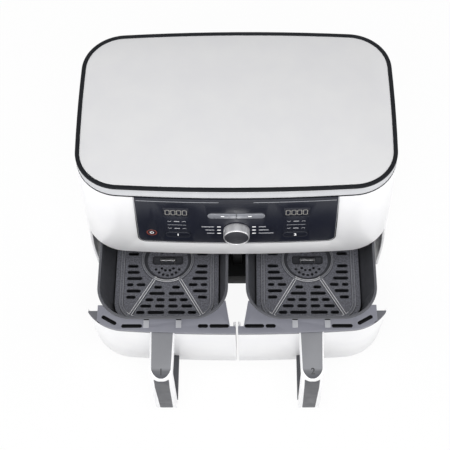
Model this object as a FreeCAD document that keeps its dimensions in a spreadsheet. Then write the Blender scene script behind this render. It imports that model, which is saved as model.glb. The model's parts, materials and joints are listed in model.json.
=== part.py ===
"""Air fryer with two drawers: casing, control panel, drawers with crisper plates, heaters and fans.

Millimetres, +Z up, front along -Y. The pieces are modelled with the drawers shut, about the middle of the
lid, and their placements then set the origin at the middle of the footprint with the drawers drawn out.
"""
import FreeCAD, Part
import math
import os
from types import SimpleNamespace

import Sketcher
from FreeCAD import Rotation, Vector

SIZES = [
    # Casing
    ("casing_width", 411.0, "outer width"),
    ("casing_depth", 265.0, "outer depth at the middle of the bowed front and back"),
    ("casing_corner", 60.0, "outer corner radius in plan"),
    ("casing_bow", 5.0, "rise of the bowed front and back"),
    ("casing_side_bow", 1.0, "rise of the bowed sides"),
    ("casing_wall", 3.0, "wall of the casing and of the drawer fronts"),
    ("casing_top", 308.5, "height of the upper edge"),
    ("casing_foot", 12.0, "height of the lower edge"),
    ("split_height", 176.5, "lower edge of the upper housing"),
    ("front_slope", 13.5, "backward lean of the drawer fronts, degrees"),
    ("wing_depth", 39.0, "how far the drawer fronts wrap round the corners"),
    ("fit_gap", 0.5, "gap between a drawer front and the casing"),
    ("seat_gap", 0.3, "gap between inner pieces and the walls they fit in"),
    # Lid
    ("lid_width", 411.0, "width of the rim"),
    ("lid_depth", 256.0, "depth of the rim"),
    ("lid_corner", 58.0, "corner radius of the rim"),
    ("lid_bow", 4.5, "rise of the bowed front and back of the rim"),
    ("trim_height", 10.5, "height of the bright band"),
    ("trim_inset", 1.0, "step from the casing to the band"),
    ("trim_width", 9.0, "width of the band's ring"),
    ("gasket_width", 5.5, "width of the black rim"),
    ("gasket_height", 3.0, "height of the black rim"),
    ("lid_thick", 5.5, "thickness of the lid panel"),
    ("lid_drop", 0.4, "lid panel below the top of the rim"),
    # Control panel
    ("panel_width", 259.0, "width over the bezel"),
    ("panel_height", 103.0, "height over the bezel"),
    ("panel_corner", 11.0, "lower corners of the bezel"),
    ("bezel_width", 1.6, "face width of the bezel"),
    ("bezel_proud", 1.2, "bezel in front of the casing"),
    ("fascia_proud", 0.8, "fascia in front of the casing"),
    ("fascia_thick", 3.8, "thickness of the fascia"),
    ("display_x", 76.7, "middle of each display from the middle"),
    ("display_z", 278.6, "height of the displays"),
    ("display_width", 33.0, "width of a display lens"),
    ("display_height", 20.0, "height of a display lens"),
    ("key_gap", 0.3, "gap round a key"),
    ("key_proud", 0.5, "keys in front of the fascia"),
    ("key_thick", 3.0, "thickness of a key"),
    ("zone_x", 76.2, "middle of each zone key from the middle"),
    ("zone_z", 225.5, "height of the zone keys"),
    ("zone_width", 33.0, "width of a zone key"),
    ("zone_height", 12.5, "height of a zone key"),
    ("power_x", 110.3, "power key from the middle"),
    ("power_z", 229.3, "height of the power key"),
    ("power_radius", 7.0, "radius of the power key"),
    ("pair_z", 272.4, "height of the two joined keys"),
    ("pair_width", 73.0, "width over the two joined keys"),
    ("pair_height", 10.6, "height of the two joined keys"),
    ("pair_gap", 0.6, "gap between the two joined keys"),
    # Dial
    ("dial_z", 239.6, "height of the dial's axis"),
    ("dial_radius", 17.0, "radius of the dial"),
    ("dial_length", 12.5, "length of the dial"),
    ("dial_lift", 0.6, "gap between the dial and the fascia"),
    ("dial_rim", 1.4, "wall of the dial round its button"),
    ("button_thick", 4.0, "thickness of the dial's button"),
    ("button_travel", 1.0, "travel of the dial's button"),
    ("spindle_radius", 3.0, "radius of the dial's spindle"),
    ("spindle_fit", 0.05, "running clearance of spindles and shafts"),
    ("encoder_width", 14.0, "width of the encoder under the dial"),
    ("encoder_depth", 9.0, "depth of the encoder"),
    ("encoder_neck", 5.0, "radius of the encoder's threaded neck"),
    ("board_thick", 1.6, "thickness of the circuit boards"),
    ("board_width", 236.0, "width of the control board"),
    ("board_height", 84.0, "height of the control board"),
    # Base
    ("foot_height", 8.0, "height of the rubber feet"),
    ("foot_radius", 11.0, "radius of the rubber feet"),
    ("foot_x", 150.0, "feet from the middle, sideways"),
    ("foot_front", 62.0, "front feet in front of the middle"),
    ("foot_back", 98.0, "back feet behind the middle"),
    ("base_thick", 2.5, "thickness of the bottom plate"),
    ("base_half_width", 188.0, "half width of the bottom plate"),
    ("base_front", 78.0, "bottom plate in front of the middle"),
    ("base_back", 122.0, "bottom plate behind the middle"),
    ("deck_height", 48.0, "top of the tray under the pans"),
    ("tray_inset", 7.5, "tray inside the casing's outer face"),
    ("tray_wall", 3.0, "walls of the tray"),
    ("rail_width", 8.0, "width of a runner"),
    ("rail_spacing", 90.0, "distance between the two runners of a pan"),
    ("rail_length", 176.0, "length of a runner"),
    ("post_thick", 13.0, "thickness of the wall between the drawers"),
    # Drawers
    ("drawer_pull", 118.2, "how far the drawers are drawn out"),
    ("drawer_gap", 3.0, "gap between the two drawer fronts"),
    ("drawer_foot", 14.0, "height of the lower edge of the drawer fronts"),
    ("ledge_drop", 4.0, "ledge below the upper housing"),
    ("ledge_thick", 8.0, "thickness of the ledge"),
    ("ledge_depth", 22.9, "ledge in front of the pan's rim"),
    ("ledge_step", 12.2, "depth of the ledge beside the wall between the drawers"),
    ("ledge_clear", 2.3, "ledge clear of the wall between the drawers and of the liner"),
    ("ledge_slant", 3.1, "ledge's inner tip inside the edge of the pan's rim"),
    ("ledge_tip", 49.7, "ledge's inner tip behind its front"),
    ("ledge_outer", 43.3, "ledge's outer end behind its front"),
    ("flap_drop", 3.0, "outer flap below the ledge's top"),
    ("flap_gap", 2.6, "outer flap in front of the seam with the casing"),
    ("flap_side", 11.0, "outer flap inside the casing's side"),
    ("front_return", 19.0, "depth of the drawer front's inner end"),
    ("pan_x", 98.0, "middle of a pan from the middle"),
    ("rim_width", 172.6, "width over the pan's rim"),
    ("rim_depth", 229.3, "depth over the pan's rim"),
    ("rim_corner", 48.0, "corner radius of the rim"),
    ("rim_lip", 3.3, "width of the rim's flat lip"),
    ("rim_thick", 2.2, "thickness of the rim"),
    ("pan_wall", 1.6, "wall of the pan"),
    ("floor_width", 138.0, "inner width of the pan's floor"),
    ("floor_front", 41.0, "pan floor behind the rim's front"),
    ("floor_back", 8.0, "pan floor in front of the rim's back"),
    ("floor_corner", 34.0, "corner radius of the floor"),
    ("floor_height", 52.0, "height of the pan's floor"),
    ("groove_width", 4.6, "width of the grooves in the ledge"),
    ("groove_front", 12.4, "grooves behind the ledge's front"),
    ("groove_floor", 2.0, "ledge left under the grooves"),
    ("tab_width", 7.0, "width of the pan clips"),
    ("tab_length", 10.8, "length of the pan clips"),
    ("tab_gap", 2.4, "pan clips in front of the pan's rim"),
    ("tab_thick", 0.9, "thickness of the pan clips"),
    ("tab_spacing", 42.0, "distance between the two pan clips"),
    # Handles
    ("handle_x", 96.5, "middle of a handle from the middle"),
    ("handle_reach", 59.8, "handle in front of the casing"),
    ("handle_top", 169.5, "height of the handle's top"),
    ("handle_bar", 16.0, "thickness of the handle's bar"),
    ("handle_root", 33.5, "width of the handle at the drawer"),
    ("handle_nose", 28.5, "width of the handle at its nose"),
    ("nose_radius", 14.0, "rounding of the nose seen from the side"),
    ("stem_depth", 16.0, "depth of the grip at the nose"),
    ("stem_tip", 12.0, "depth of the grip at its lower end"),
    ("stem_width", 28.0, "width of the grip at its lower end"),
    ("stem_lean", 18.5, "grip leaning back towards its lower end"),
    ("stem_foot", 33.0, "height of the grip's lower end"),
    ("inlay_rim", 2.0, "shell left standing round an inlay"),
    ("inlay_thick", 2.0, "thickness of the top inlay"),
    ("inlay_nose", 9.0, "drop of the top inlay at the nose"),
    ("front_inlay_top", 19.6, "width of the front inlay at its top"),
    ("front_inlay_foot", 17.2, "width of the front inlay at its foot"),
    ("front_inlay_low", 3.0, "front inlay above the grip's lower end"),
    ("nose_band", 2.5, "shell left standing between the two inlays"),
    ("front_inlay_thick", 6.0, "thickness of the front inlay"),
    ("return_thick", 8.0, "thickness of the handle's lower bar"),
    ("return_width", 30.0, "width of the handle's lower bar"),
    # Crisper plates
    ("plate_top", 92.0, "height of the crisper plate's face"),
    ("plate_thick", 2.4, "thickness of the plate"),
    ("plate_width", 144.0, "width of the plate"),
    ("plate_depth", 187.0, "depth of the plate"),
    ("plate_y", 17.4, "middle of the plate behind the middle"),
    ("plate_corner", 34.5, "corner radius of the plate"),
    ("plate_skirt", 9.0, "height of the plate's turned-down edge"),
    ("border_inset", 6.8, "raised border inside the plate's edge"),
    ("border_width", 5.2, "width of the raised border"),
    ("border_height", 1.6, "height of the raised border and ridges"),
    ("ridge_width", 4.4, "width of the four ridges"),
    ("ring_y", 8.2, "middle of the dish behind the plate's middle"),
    ("ring_radius", 36.6, "outer radius of the dish's ring"),
    ("ring_width", 3.4, "width of the dish's ring"),
    ("ring_height", 2.6, "height of the dish's ring"),
    ("dish_drop", 1.0, "dish below the plate's face"),
    ("row_pitch", 9.9, "distance between rows of slots"),
    ("row_start", 7.0, "first row in front of the dish's ring"),
    ("row_slot", 4.2, "width of the plate's slots"),
    ("hole_radius", 1.5, "radius of the dish's small holes"),
    ("recess_drop", 7.0, "recess floor below the plate's face"),
    ("recess_width", 42.0, "width of the finger recess"),
    ("recess_depth", 13.0, "depth of the finger recess, front to back"),
    ("bar_length", 20.6, "length of the pull bar"),
    ("bar_width", 4.0, "width of the pull bar"),
    ("bar_thick", 1.6, "thickness of the pull bar"),
    ("leg_radius", 4.0, "radius of the plate's legs"),
    ("bumper_radius", 6.5, "radius of the silicone bumpers"),
    ("bumper_height", 7.0, "height of the silicone bumpers"),
    ("leg_x", 50.0, "legs from the plate's middle, sideways"),
    ("leg_y", 64.0, "legs from the plate's middle, front to back"),
    # Heaters and fans
    ("shelf_gap", 0.5, "steel shelf above the split"),
    ("shelf_thick", 1.2, "thickness of the steel shelf"),
    ("sheet_thick", 0.8, "thickness of the cavity liners"),
    ("liner_gap", 2.4, "liner outside the pan's rim"),
    ("liner_corner", 46.0, "back corner radius of the liners"),
    ("port_radius", 70.0, "radius of the opening over each pan"),
    ("guard_radius", 77.0, "radius of the heater guard"),
    ("guard_thick", 1.2, "thickness of the heater guard"),
    ("can_radius", 75.0, "radius of the heater can"),
    ("can_flange", 84.0, "radius of the can's flange"),
    ("can_height", 36.0, "height of the heater can"),
    ("coil_outer", 63.0, "radius of the heater's outer turn"),
    ("coil_inner", 51.0, "radius of the heater's inner turn"),
    ("coil_tube", 3.2, "radius of the heater's tube"),
    ("coil_lift", 8.0, "heater above the guard"),
    ("fan_radius", 46.0, "radius of the convection fan"),
    ("fan_hub", 9.0, "radius of the fan's hub"),
    ("fan_height", 13.0, "height of the fan's blades"),
    ("fan_drop", 5.0, "fan below the can's top"),
    ("blade_thick", 1.2, "thickness of a blade"),
    ("shaft_radius", 4.0, "radius of the motor shaft"),
    ("motor_radius", 31.0, "radius of the motor"),
    ("motor_height", 42.0, "height of the motor"),
    ("motor_flange", 38.0, "radius of the motor's mounting flange"),
    ("shaft_tail", 6.0, "shaft above the motor"),
    # Back
    ("rear_proud", 7.0, "back cover behind the casing"),
    ("rear_width", 220.0, "width of the back cover"),
    ("rear_height", 84.0, "height of the back cover"),
    ("rear_z", 236.0, "height of the back cover's middle"),
    ("rear_corner", 14.0, "corner radius of the back cover"),
    ("vent_height", 4.0, "height of a vent slot"),
    ("vent_pitch", 10.0, "distance between vent slots"),
    ("vent_length", 80.0, "length of a vent slot"),
    ("inlet_x", 128.0, "cord inlet from the middle"),
    ("inlet_z", 62.0, "height of the cord inlet"),
    ("inlet_radius", 9.0, "radius of the cord inlet"),
    ("inlet_bore", 3.6, "radius of the cord's hole"),
    ("power_board_width", 180.0, "width of the power board"),
    ("power_board_depth", 30.0, "depth of the power board, front to back"),
    ("power_board_lift", 7.0, "top of the power board above the steel shelf"),
    ("screw_radius", 3.5, "radius of the case screws' heads"),
    ("screw_head", 1.5, "height of the case screws' heads"),
]

DRAWER_SIDES = (("left", -1), ("right", 1))
FAN_BLADES = 8
GUARD_SPOKES = 6
VENT_ROWS = 7
COIL_GAP = 24
RIDGE_LEAN = 0.491
BACK_ROWS = 4

# Slots of the plate, as shares of its half width, from the dish outwards
FRONT_ROWS = (((0.104, 0.243),), ((0.042, 0.333),), ((0.042, 0.188), (0.257, 0.403)),
              ((0.042, 0.213), (0.292, 0.493)), ((0.042, 0.354), (0.417, 0.569)))
SIDE_ROWS = (((0.576, 0.771),), ((0.546, 0.771),), ((0.49, 0.771),), ((0.424, 0.582), (0.656, 0.771)),
             ((0.508, 0.771),), ((0.603, 0.771),))
# Small holes of the dish, as shares of its ring's radius
DISH_HOLES = ((0.087, 0.437), (0.224, 0.352), (0.443, 0.402), (0.0, 0.661), (0.169, 0.628), (0.322, 0.538))
# Grooves of a ledge: ends as shares of the rim's width outwards and of the ledge's depth backwards
LEDGE_GROOVES = (((0.438, 0.565), (0.352, 0.18)), ((0.285, 0.0), (0.158, 0.0)),
                 ((-0.291, 0.0), (-0.337, 0.0)), ((-0.378, 0.0), (-0.494, 0.0)))

doc = FreeCAD.newDocument("air_fryer")
sheet = doc.addObject("Spreadsheet::Sheet", "Sizes")
nodes = []
waiting = {}


class Size:
    """A length known both as a number and as a formula on the spreadsheet."""

    def __init__(self, text, value):
        self.text = text
        self.value = value

    def __add__(self, other):
        return combine(self, "+", other)

    def __radd__(self, other):
        return combine(other, "+", self)

    def __sub__(self, other):
        return combine(self, "-", other)

    def __rsub__(self, other):
        return combine(other, "-", self)

    def __mul__(self, other):
        return combine(self, "*", other)

    def __rmul__(self, other):
        return combine(other, "*", self)

    def __truediv__(self, other):
        return combine(self, "/", other)

    def __neg__(self):
        return combine(0.0, "-", self)


def as_size(thing):
    """Turns a plain number into a Size, and leaves a Size as it is."""
    if isinstance(thing, Size):
        return thing
    return Size(f"({float(thing)!r})", float(thing))


def combine(left, sign, right):
    """Joins two sizes by one of the four signs, as a number and as a formula."""
    a = as_size(left)
    b = as_size(right)
    results = {"+": a.value + b.value, "-": a.value - b.value, "*": a.value * b.value}
    value = a.value / b.value if sign == "/" else results[sign]
    return Size(f"({a.text} {sign} {b.text})", value)


def tangent(angle):
    """Tangent of an angle in degrees."""
    return Size(f"tan({angle.text})", math.tan(math.radians(angle.value)))


def fill_sheet():
    """Writes the driving sizes to the spreadsheet and returns them by name."""
    sizes = SimpleNamespace()
    for row, (alias, value, note) in enumerate(SIZES, start=1):
        sheet.set(f"A{row}", note)
        sheet.set(f"B{row}", str(value))
        sheet.setAlias(f"B{row}", alias)
        setattr(sizes, alias, Size(f"Sizes.{alias}", value))
    doc.recompute()
    return sizes


size = fill_sheet()

# Places worked out from the driving sizes
front = size.casing_depth / 2
slope = tangent(size.front_slope)
frame_shift = (size.handle_reach + size.drawer_pull - size.rear_proud) / 2
ledge_top = size.split_height - size.ledge_drop
ledge_bottom = ledge_top - size.ledge_thick
seam = size.wing_depth - front
base_top = size.foot_height + size.base_thick
shelf_low = size.split_height + size.shelf_gap
shelf_top = shelf_low + size.shelf_thick
rim_front = size.ledge_depth - front
rim_back = rim_front + size.rim_depth
rim_y = (rim_front + rim_back) / 2
pan_underside = size.floor_height - size.pan_wall
panel_low = size.casing_top - size.panel_height
nose = -(front + size.handle_reach)
far = size.casing_width * 2


def bind(thing, place, length):
    """Binds a property of an object to a formula on the spreadsheet."""
    thing.setExpression(place, as_size(length).text)


class Outline:
    """Rounded rectangle with bowed sides, as the casing and the lid have in plan."""

    def __init__(self, width, depth, corner, bow, side_bow):
        self.half_width = width / 2
        self.half_depth = depth / 2
        self.corner = corner
        chord = self.half_width - corner
        side_chord = self.half_depth - corner
        self.front_radius = (chord * chord + bow * bow) / (bow * 2)
        self.side_radius = (side_chord * side_chord + side_bow * side_bow) / (side_bow * 2)

    def corner_centre(self):
        """Middle of the corner arc at +X, +Y, tangent to the bowed back and side."""
        side = Vector(self.half_width.value - self.side_radius.value, 0, 0)
        back = Vector(0, self.half_depth.value - self.front_radius.value, 0)
        reach_side = self.side_radius.value - self.corner.value
        reach_back = self.front_radius.value - self.corner.value
        gap = (back - side).Length
        along = (reach_side ** 2 - reach_back ** 2 + gap ** 2) / (2 * gap)
        across = math.sqrt(reach_side ** 2 - along ** 2)
        way = (back - side) / gap
        return side + way * along + Vector(-way.y, way.x, 0) * across

    def draw(self, sketch, inset=0.0, shift=0.0):
        """Draws the outline, drawn in by an inset and moved along Y, with its constraints."""
        inset = as_size(inset)
        shift = as_size(shift)
        corner = self.corner_centre()
        back = self.front_radius - self.half_depth
        side = self.side_radius - self.half_width
        spots = [(Vector(0, back.value, 0), self.front_radius),
                 (Vector(corner.x, -corner.y, 0), self.corner),
                 (Vector(-side.value, 0, 0), self.side_radius),
                 (Vector(corner.x, corner.y, 0), self.corner),
                 (Vector(0, -back.value, 0), self.front_radius),
                 (Vector(-corner.x, corner.y, 0), self.corner),
                 (Vector(side.value, 0, 0), self.side_radius),
                 (Vector(-corner.x, -corner.y, 0), self.corner)]
        first = sketch.GeometryCount
        joins = []
        for index, (middle, radius) in enumerate(spots):
            after, after_radius = spots[(index + 1) % len(spots)]
            way = (after - middle) if radius.value > after_radius.value else (middle - after)
            joins.append(math.atan2(way.y, way.x))
        for index, (middle, radius) in enumerate(spots):
            start = joins[index - 1]
            end = joins[index]
            while end < start:
                end += 2 * math.pi
            moved = middle + Vector(0, shift.value, 0)
            ring = Part.Circle(moved, Vector(0, 0, 1), radius.value - inset.value)
            sketch.addGeometry(Part.ArcOfCircle(ring, start, end), False)
        for index, (middle, radius) in enumerate(spots):
            arc = first + index
            hold(sketch, "Radius", arc, length=radius - inset)
        for index in range(len(spots)):
            following = first + (index + 1) % len(spots)
            hold(sketch, "Tangent", first + index, 2, following, 1)
        for index, across, along in ((0, as_size(0), back), (2, -side, as_size(0)),
                                     (4, as_size(0), -back), (6, side, as_size(0))):
            pin(sketch, first + index, 3, across, along + shift)


def hold(sketch, kind, *parts, length=None):
    """Notes a constraint for a sketch, with the size that drives it where it has one."""
    if length is not None:
        parts = parts + (as_size(length).value,)
    waiting.setdefault(sketch.Name, []).append((Sketcher.Constraint(kind, *parts), length))


def settle(sketch):
    """Gives a sketch the constraints noted for it and binds their sizes."""
    noted = waiting.pop(sketch.Name, [])
    first = sketch.ConstraintCount
    sketch.addConstraint([constraint for constraint, _ in noted])
    for index, (_, length) in enumerate(noted):
        if length is not None:
            bind(sketch, f"Constraints[{first + index}]", length)
    sketch.Visibility = False


def pin(sketch, item, point, across, along):
    """Holds a point of a sketch at a distance from the sketch's origin both ways."""
    for kind, length in (("DistanceX", as_size(across)), ("DistanceY", as_size(along))):
        hold(sketch, kind, -1, 1, item, point, length=length)


def polygon(sketch, corners):
    """Draws a closed line through corners in anticlockwise order; a third value rounds a corner."""
    spots = [Vector(as_size(c[0]).value, as_size(c[1]).value, 0) for c in corners]
    count = len(spots)
    starts = list(spots)
    ends = list(spots)
    arcs = {}
    for index, corner in enumerate(corners):
        if len(corner) < 3:
            continue
        radius = as_size(corner[2]).value
        back = (spots[index - 1] - spots[index]).normalize()
        ahead = (spots[(index + 1) % count] - spots[index]).normalize()
        half = back.getAngle(ahead) / 2
        ends[index] = spots[index] + back * (radius / math.tan(half))
        starts[index] = spots[index] + ahead * (radius / math.tan(half))
        middle = spots[index] + (back + ahead).normalize() * (radius / math.sin(half))
        arcs[index] = (middle, radius, back.cross(ahead).z < 0)
    lines = []
    for index in range(count):
        line = Part.LineSegment(starts[index], ends[(index + 1) % count])
        lines.append(sketch.addGeometry(line, False))
    for index, corner in enumerate(corners):
        into = lines[index - 1]
        away = lines[index]
        if index not in arcs:
            hold(sketch, "Coincident", into, 2, away, 1)
            pin(sketch, away, 1, corner[0], corner[1])
            continue
        middle, radius, left_turn = arcs[index]
        low, high = (ends[index], starts[index]) if left_turn else (starts[index], ends[index])
        angles = [math.atan2(p.y - middle.y, p.x - middle.x) for p in (low, high)]
        if angles[1] < angles[0]:
            angles[1] += 2 * math.pi
        ring = Part.Circle(middle, Vector(0, 0, 1), radius)
        arc = sketch.addGeometry(Part.ArcOfCircle(ring, angles[0], angles[1]), False)
        first, last = (1, 2) if left_turn else (2, 1)
        hold(sketch, "Tangent", into, 2, arc, first)
        hold(sketch, "Tangent", arc, last, away, 1)
        hold(sketch, "Radius", arc, length=corner[2])
        spot = sketch.addGeometry(Part.Point(spots[index]), True)
        hold(sketch, "PointOnObject", spot, 1, into)
        hold(sketch, "PointOnObject", spot, 1, away)
        pin(sketch, spot, 1, corner[0], corner[1])


def rectangle(sketch, left, right, low, high, radius=None):
    """Draws a rectangle, with rounded corners where a radius is given."""
    tail = () if radius is None else (radius,)
    polygon(sketch, [(left, low) + tail, (right, low) + tail, (right, high) + tail, (left, high) + tail])


def circle(sketch, across, along, radius):
    """Draws a circle held at its middle."""
    spot = Vector(as_size(across).value, as_size(along).value, 0)
    item = sketch.addGeometry(Part.Circle(spot, Vector(0, 0, 1), as_size(radius).value), False)
    hold(sketch, "Radius", item, length=radius)
    pin(sketch, item, 3, across, along)


def slot(sketch, start, end, radius):
    """Draws a slot with round ends between two middles."""
    a = Vector(as_size(start[0]).value, as_size(start[1]).value, 0)
    b = Vector(as_size(end[0]).value, as_size(end[1]).value, 0)
    reach = as_size(radius).value
    way = (b - a).normalize()
    side = Vector(-way.y, way.x, 0) * reach
    turn = math.atan2(way.y, way.x)
    up = Vector(0, 0, 1)
    quarter = math.pi / 2
    far_end = Part.ArcOfCircle(Part.Circle(b, up, reach), turn - quarter, turn + quarter)
    near_end = Part.ArcOfCircle(Part.Circle(a, up, reach), turn + quarter, turn + 3 * quarter)
    pieces = [Part.LineSegment(a - side, b - side), far_end, Part.LineSegment(b + side, a + side), near_end]
    items = [sketch.addGeometry(piece, False) for piece in pieces]
    for index, item in enumerate(items):
        hold(sketch, "Tangent", item, 2, items[(index + 1) % 4], 1)
    hold(sketch, "Equal", items[1], items[3])
    hold(sketch, "Radius", items[1], length=radius)
    pin(sketch, items[3], 3, start[0], start[1])
    pin(sketch, items[1], 3, end[0], end[1])


def bow_strip(sketch, half_width, outward, inward):
    """Draws a strip of the casing's bowed front, as thick as it stands out and goes in."""
    middle = Vector(0, CASING.front_radius.value - front.value, 0)
    radii = [CASING.front_radius + outward, CASING.front_radius - inward]
    half = as_size(half_width)
    arcs = []
    for radius in radii:
        swing = math.asin(half.value / radius.value)
        turn = Part.Circle(middle, Vector(0, 0, 1), radius.value)
        strip = Part.ArcOfCircle(turn, -math.pi / 2 - swing, -math.pi / 2 + swing)
        arcs.append(sketch.addGeometry(strip, False))
        hold(sketch, "Radius", arcs[-1], length=radius)
        pin(sketch, arcs[-1], 3, 0, CASING.front_radius - front)
    for point, sign in ((1, -1), (2, 1)):
        drops = [math.sqrt(radius.value ** 2 - half.value ** 2) for radius in radii]
        ends = [Vector(sign * half.value, middle.y - drop, 0) for drop in drops]
        line = sketch.addGeometry(Part.LineSegment(ends[0], ends[1]), False)
        hold(sketch, "Coincident", line, 1, arcs[0], point)
        hold(sketch, "Coincident", line, 2, arcs[1], point)
        hold(sketch, "Vertical", line)
        hold(sketch, "DistanceX", -1, 1, line, 1, length=half * sign)


def place(thing, across=0.0, along=0.0, up=0.0, pulled=False):
    """Places a sub-part in the frame, with the drawers' pieces drawn out."""
    shift = frame_shift - size.drawer_pull if pulled else frame_shift
    bind(thing, "Placement.Base.x", across)
    bind(thing, "Placement.Base.y", as_size(along) + shift)
    bind(thing, "Placement.Base.z", up)


def keep(thing, name):
    """Names a sub-part and lists it for the finished assembly."""
    thing.Label = name
    nodes.append(thing)
    return thing


def new_body(name):
    """Starts a body for one piece."""
    return doc.addObject("PartDesign::Body", name)


def sketch_on(body, name, role, offset=0.0):
    """Puts a sketch on one of the body's own planes, moved along that plane's normal."""
    sketch = body.newObject("Sketcher::SketchObject", name)
    plane = next(item for item in body.Origin.OriginFeatures if item.Role == role)
    sketch.AttachmentSupport = [(plane, "")]
    sketch.MapMode = "FlatFace"
    bind(sketch, "AttachmentOffset.Base.z", offset)
    return sketch


def extrude(body, kind, sketch, length, reverse=False, both=False, lean=False):
    """Pads or pockets a sketch, along its normal, both ways, or leaning like the drawer fronts."""
    settle(sketch)
    feature = body.newObject(f"PartDesign::{kind}", f"{sketch.Name}_{kind.lower()}")
    feature.Profile = sketch
    bind(feature, "Length", length)
    feature.Reversed = reverse
    if both:
        feature.SideType = "Symmetric"
    if lean:
        feature.UseCustomVector = True
        feature.Direction = Vector(0, slope.value, -1)
        feature.AlongSketchNormal = True
    return feature


def pad(body, sketch, length, **ways):
    """Adds the sketch's extrusion to the body."""
    return extrude(body, "Pad", sketch, length, **ways)


def pocket(body, sketch, length, **ways):
    """Cuts the sketch's extrusion from the body."""
    return extrude(body, "Pocket", sketch, length, **ways)


def revolve(body, sketch, kind="Revolution"):
    """Turns a sketch about its vertical axis."""
    settle(sketch)
    feature = body.newObject(f"PartDesign::{kind}", f"{sketch.Name}_turn")
    feature.Profile = sketch
    feature.ReferenceAxis = (sketch, ["V_Axis"])
    feature.Angle = 360
    return feature


def box(name, left, right, near, back, low, high):
    """Makes a block between its faces."""
    block = doc.addObject("Part::Box", name)
    bind(block, "Length", as_size(right) - left)
    bind(block, "Width", as_size(back) - near)
    bind(block, "Height", as_size(high) - low)
    bind(block, "Placement.Base.x", left)
    bind(block, "Placement.Base.y", near)
    bind(block, "Placement.Base.z", low)
    return block


def cylinder(name, across, along, low, radius, height):
    """Makes an upright cylinder."""
    rod = doc.addObject("Part::Cylinder", name)
    bind(rod, "Radius", radius)
    bind(rod, "Height", height)
    bind(rod, "Placement.Base.x", across)
    bind(rod, "Placement.Base.y", along)
    bind(rod, "Placement.Base.z", low)
    return rod


def fuse(name, pieces):
    """Joins several shapes into one."""
    whole = doc.addObject("Part::MultiFuse", name)
    whole.Shapes = pieces
    return whole


def cut(name, base, tool):
    """Takes one shape away from another."""
    rest = doc.addObject("Part::Cut", name)
    rest.Base = base
    rest.Tool = tool
    return rest


def common(name, pieces):
    """Keeps what several shapes share."""
    shared = doc.addObject("Part::MultiCommon", name)
    shared.Shapes = pieces
    return shared


def group(name, pieces):
    """Gathers separate solids in one sub-part."""
    gathered = doc.addObject("Part::Compound", name)
    gathered.Links = pieces
    return gathered


CASING = Outline(size.casing_width, size.casing_depth, size.casing_corner, size.casing_bow,
                 size.casing_side_bow)
LID = Outline(size.lid_width, size.lid_depth, size.lid_corner, size.lid_bow, size.casing_side_bow)


def front_line(height):
    """Backward shift of the leaning drawer fronts at a height."""
    return (size.split_height - height) * slope


def make_casing():
    """White outer shell: upper housing, side walls and back, open for the drawers and the panel."""
    body = new_body("casing")
    sketch = sketch_on(body, "casing_outline", "XY_Plane", size.casing_foot)
    CASING.draw(sketch)
    pad(body, sketch, size.casing_top - size.casing_foot)
    sketch = sketch_on(body, "casing_inside", "XY_Plane", size.casing_top)
    CASING.draw(sketch, size.casing_wall)
    pocket(body, sketch, size.casing_top - size.casing_foot)
    sketch = sketch_on(body, "drawer_opening", "YZ_Plane")
    polygon(sketch, [(-far, 0), (seam + front_line(as_size(0)), 0), (seam, size.split_height),
                     (-far, size.split_height)])
    pocket(body, sketch, far, both=True)
    sketch = sketch_on(body, "panel_window", "XZ_Plane")
    half = size.panel_width / 2 + size.seat_gap / 2
    low = panel_low - size.seat_gap / 2
    polygon(sketch, [(-half, low, size.panel_corner), (half, low, size.panel_corner),
                     (half, size.casing_top + size.casing_wall), (-half, size.casing_top + size.casing_wall)])
    pocket(body, sketch, size.casing_depth, reverse=True)
    sketch = sketch_on(body, "back_openings", "XZ_Plane")
    outlet = size.vent_length + size.vent_pitch
    rise = size.vent_pitch * (VENT_ROWS / 2)
    rectangle(sketch, -outlet, outlet, size.rear_z - rise, size.rear_z + rise, size.vent_pitch)
    circle(sketch, size.inlet_x, size.inlet_z, size.inlet_radius + size.spindle_fit)
    pocket(body, sketch, size.casing_depth)
    place(body)
    return keep(body, "casing")


def make_lid():
    """Bright band, black rim and lid panel."""
    top = size.casing_top + size.trim_height
    lid_low = top + size.gasket_height - size.lid_drop - size.lid_thick
    trim = new_body("chrome_trim")
    low = sketch_on(trim, "trim_low", "XY_Plane", size.casing_top)
    CASING.draw(low, size.trim_inset)
    high = sketch_on(trim, "trim_high", "XY_Plane", top)
    LID.draw(high, size.lid_drop)
    settle(low)
    settle(high)
    loft = trim.newObject("PartDesign::AdditiveLoft", "trim_flare")
    loft.Profile = low
    loft.Sections = [high]
    loft.Ruled = True
    sketch = sketch_on(trim, "trim_inside", "XY_Plane", top)
    LID.draw(sketch, size.trim_width)
    pocket(trim, sketch, size.trim_height)
    sketch = sketch_on(trim, "trim_seat", "XY_Plane", top)
    LID.draw(sketch, size.gasket_width)
    pocket(trim, sketch, top - lid_low)
    place(trim)
    keep(trim, "chrome_trim")

    gasket = new_body("lid_gasket")
    sketch = sketch_on(gasket, "gasket_ring", "XY_Plane", top)
    LID.draw(sketch)
    LID.draw(sketch, size.gasket_width)
    pad(gasket, sketch, size.gasket_height)
    place(gasket)
    keep(gasket, "lid_gasket")

    lid = new_body("lid_panel")
    sketch = sketch_on(lid, "lid_outline", "XY_Plane", lid_low)
    LID.draw(sketch, size.gasket_width)
    pad(lid, sketch, size.lid_thick)
    sketch = sketch_on(lid, "lid_hollow", "XY_Plane", lid_low)
    LID.draw(sketch, size.trim_width + size.lid_thick)
    pocket(lid, sketch, size.lid_thick - size.base_thick, reverse=True)
    place(lid)
    keep(lid, "lid_panel")


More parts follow.
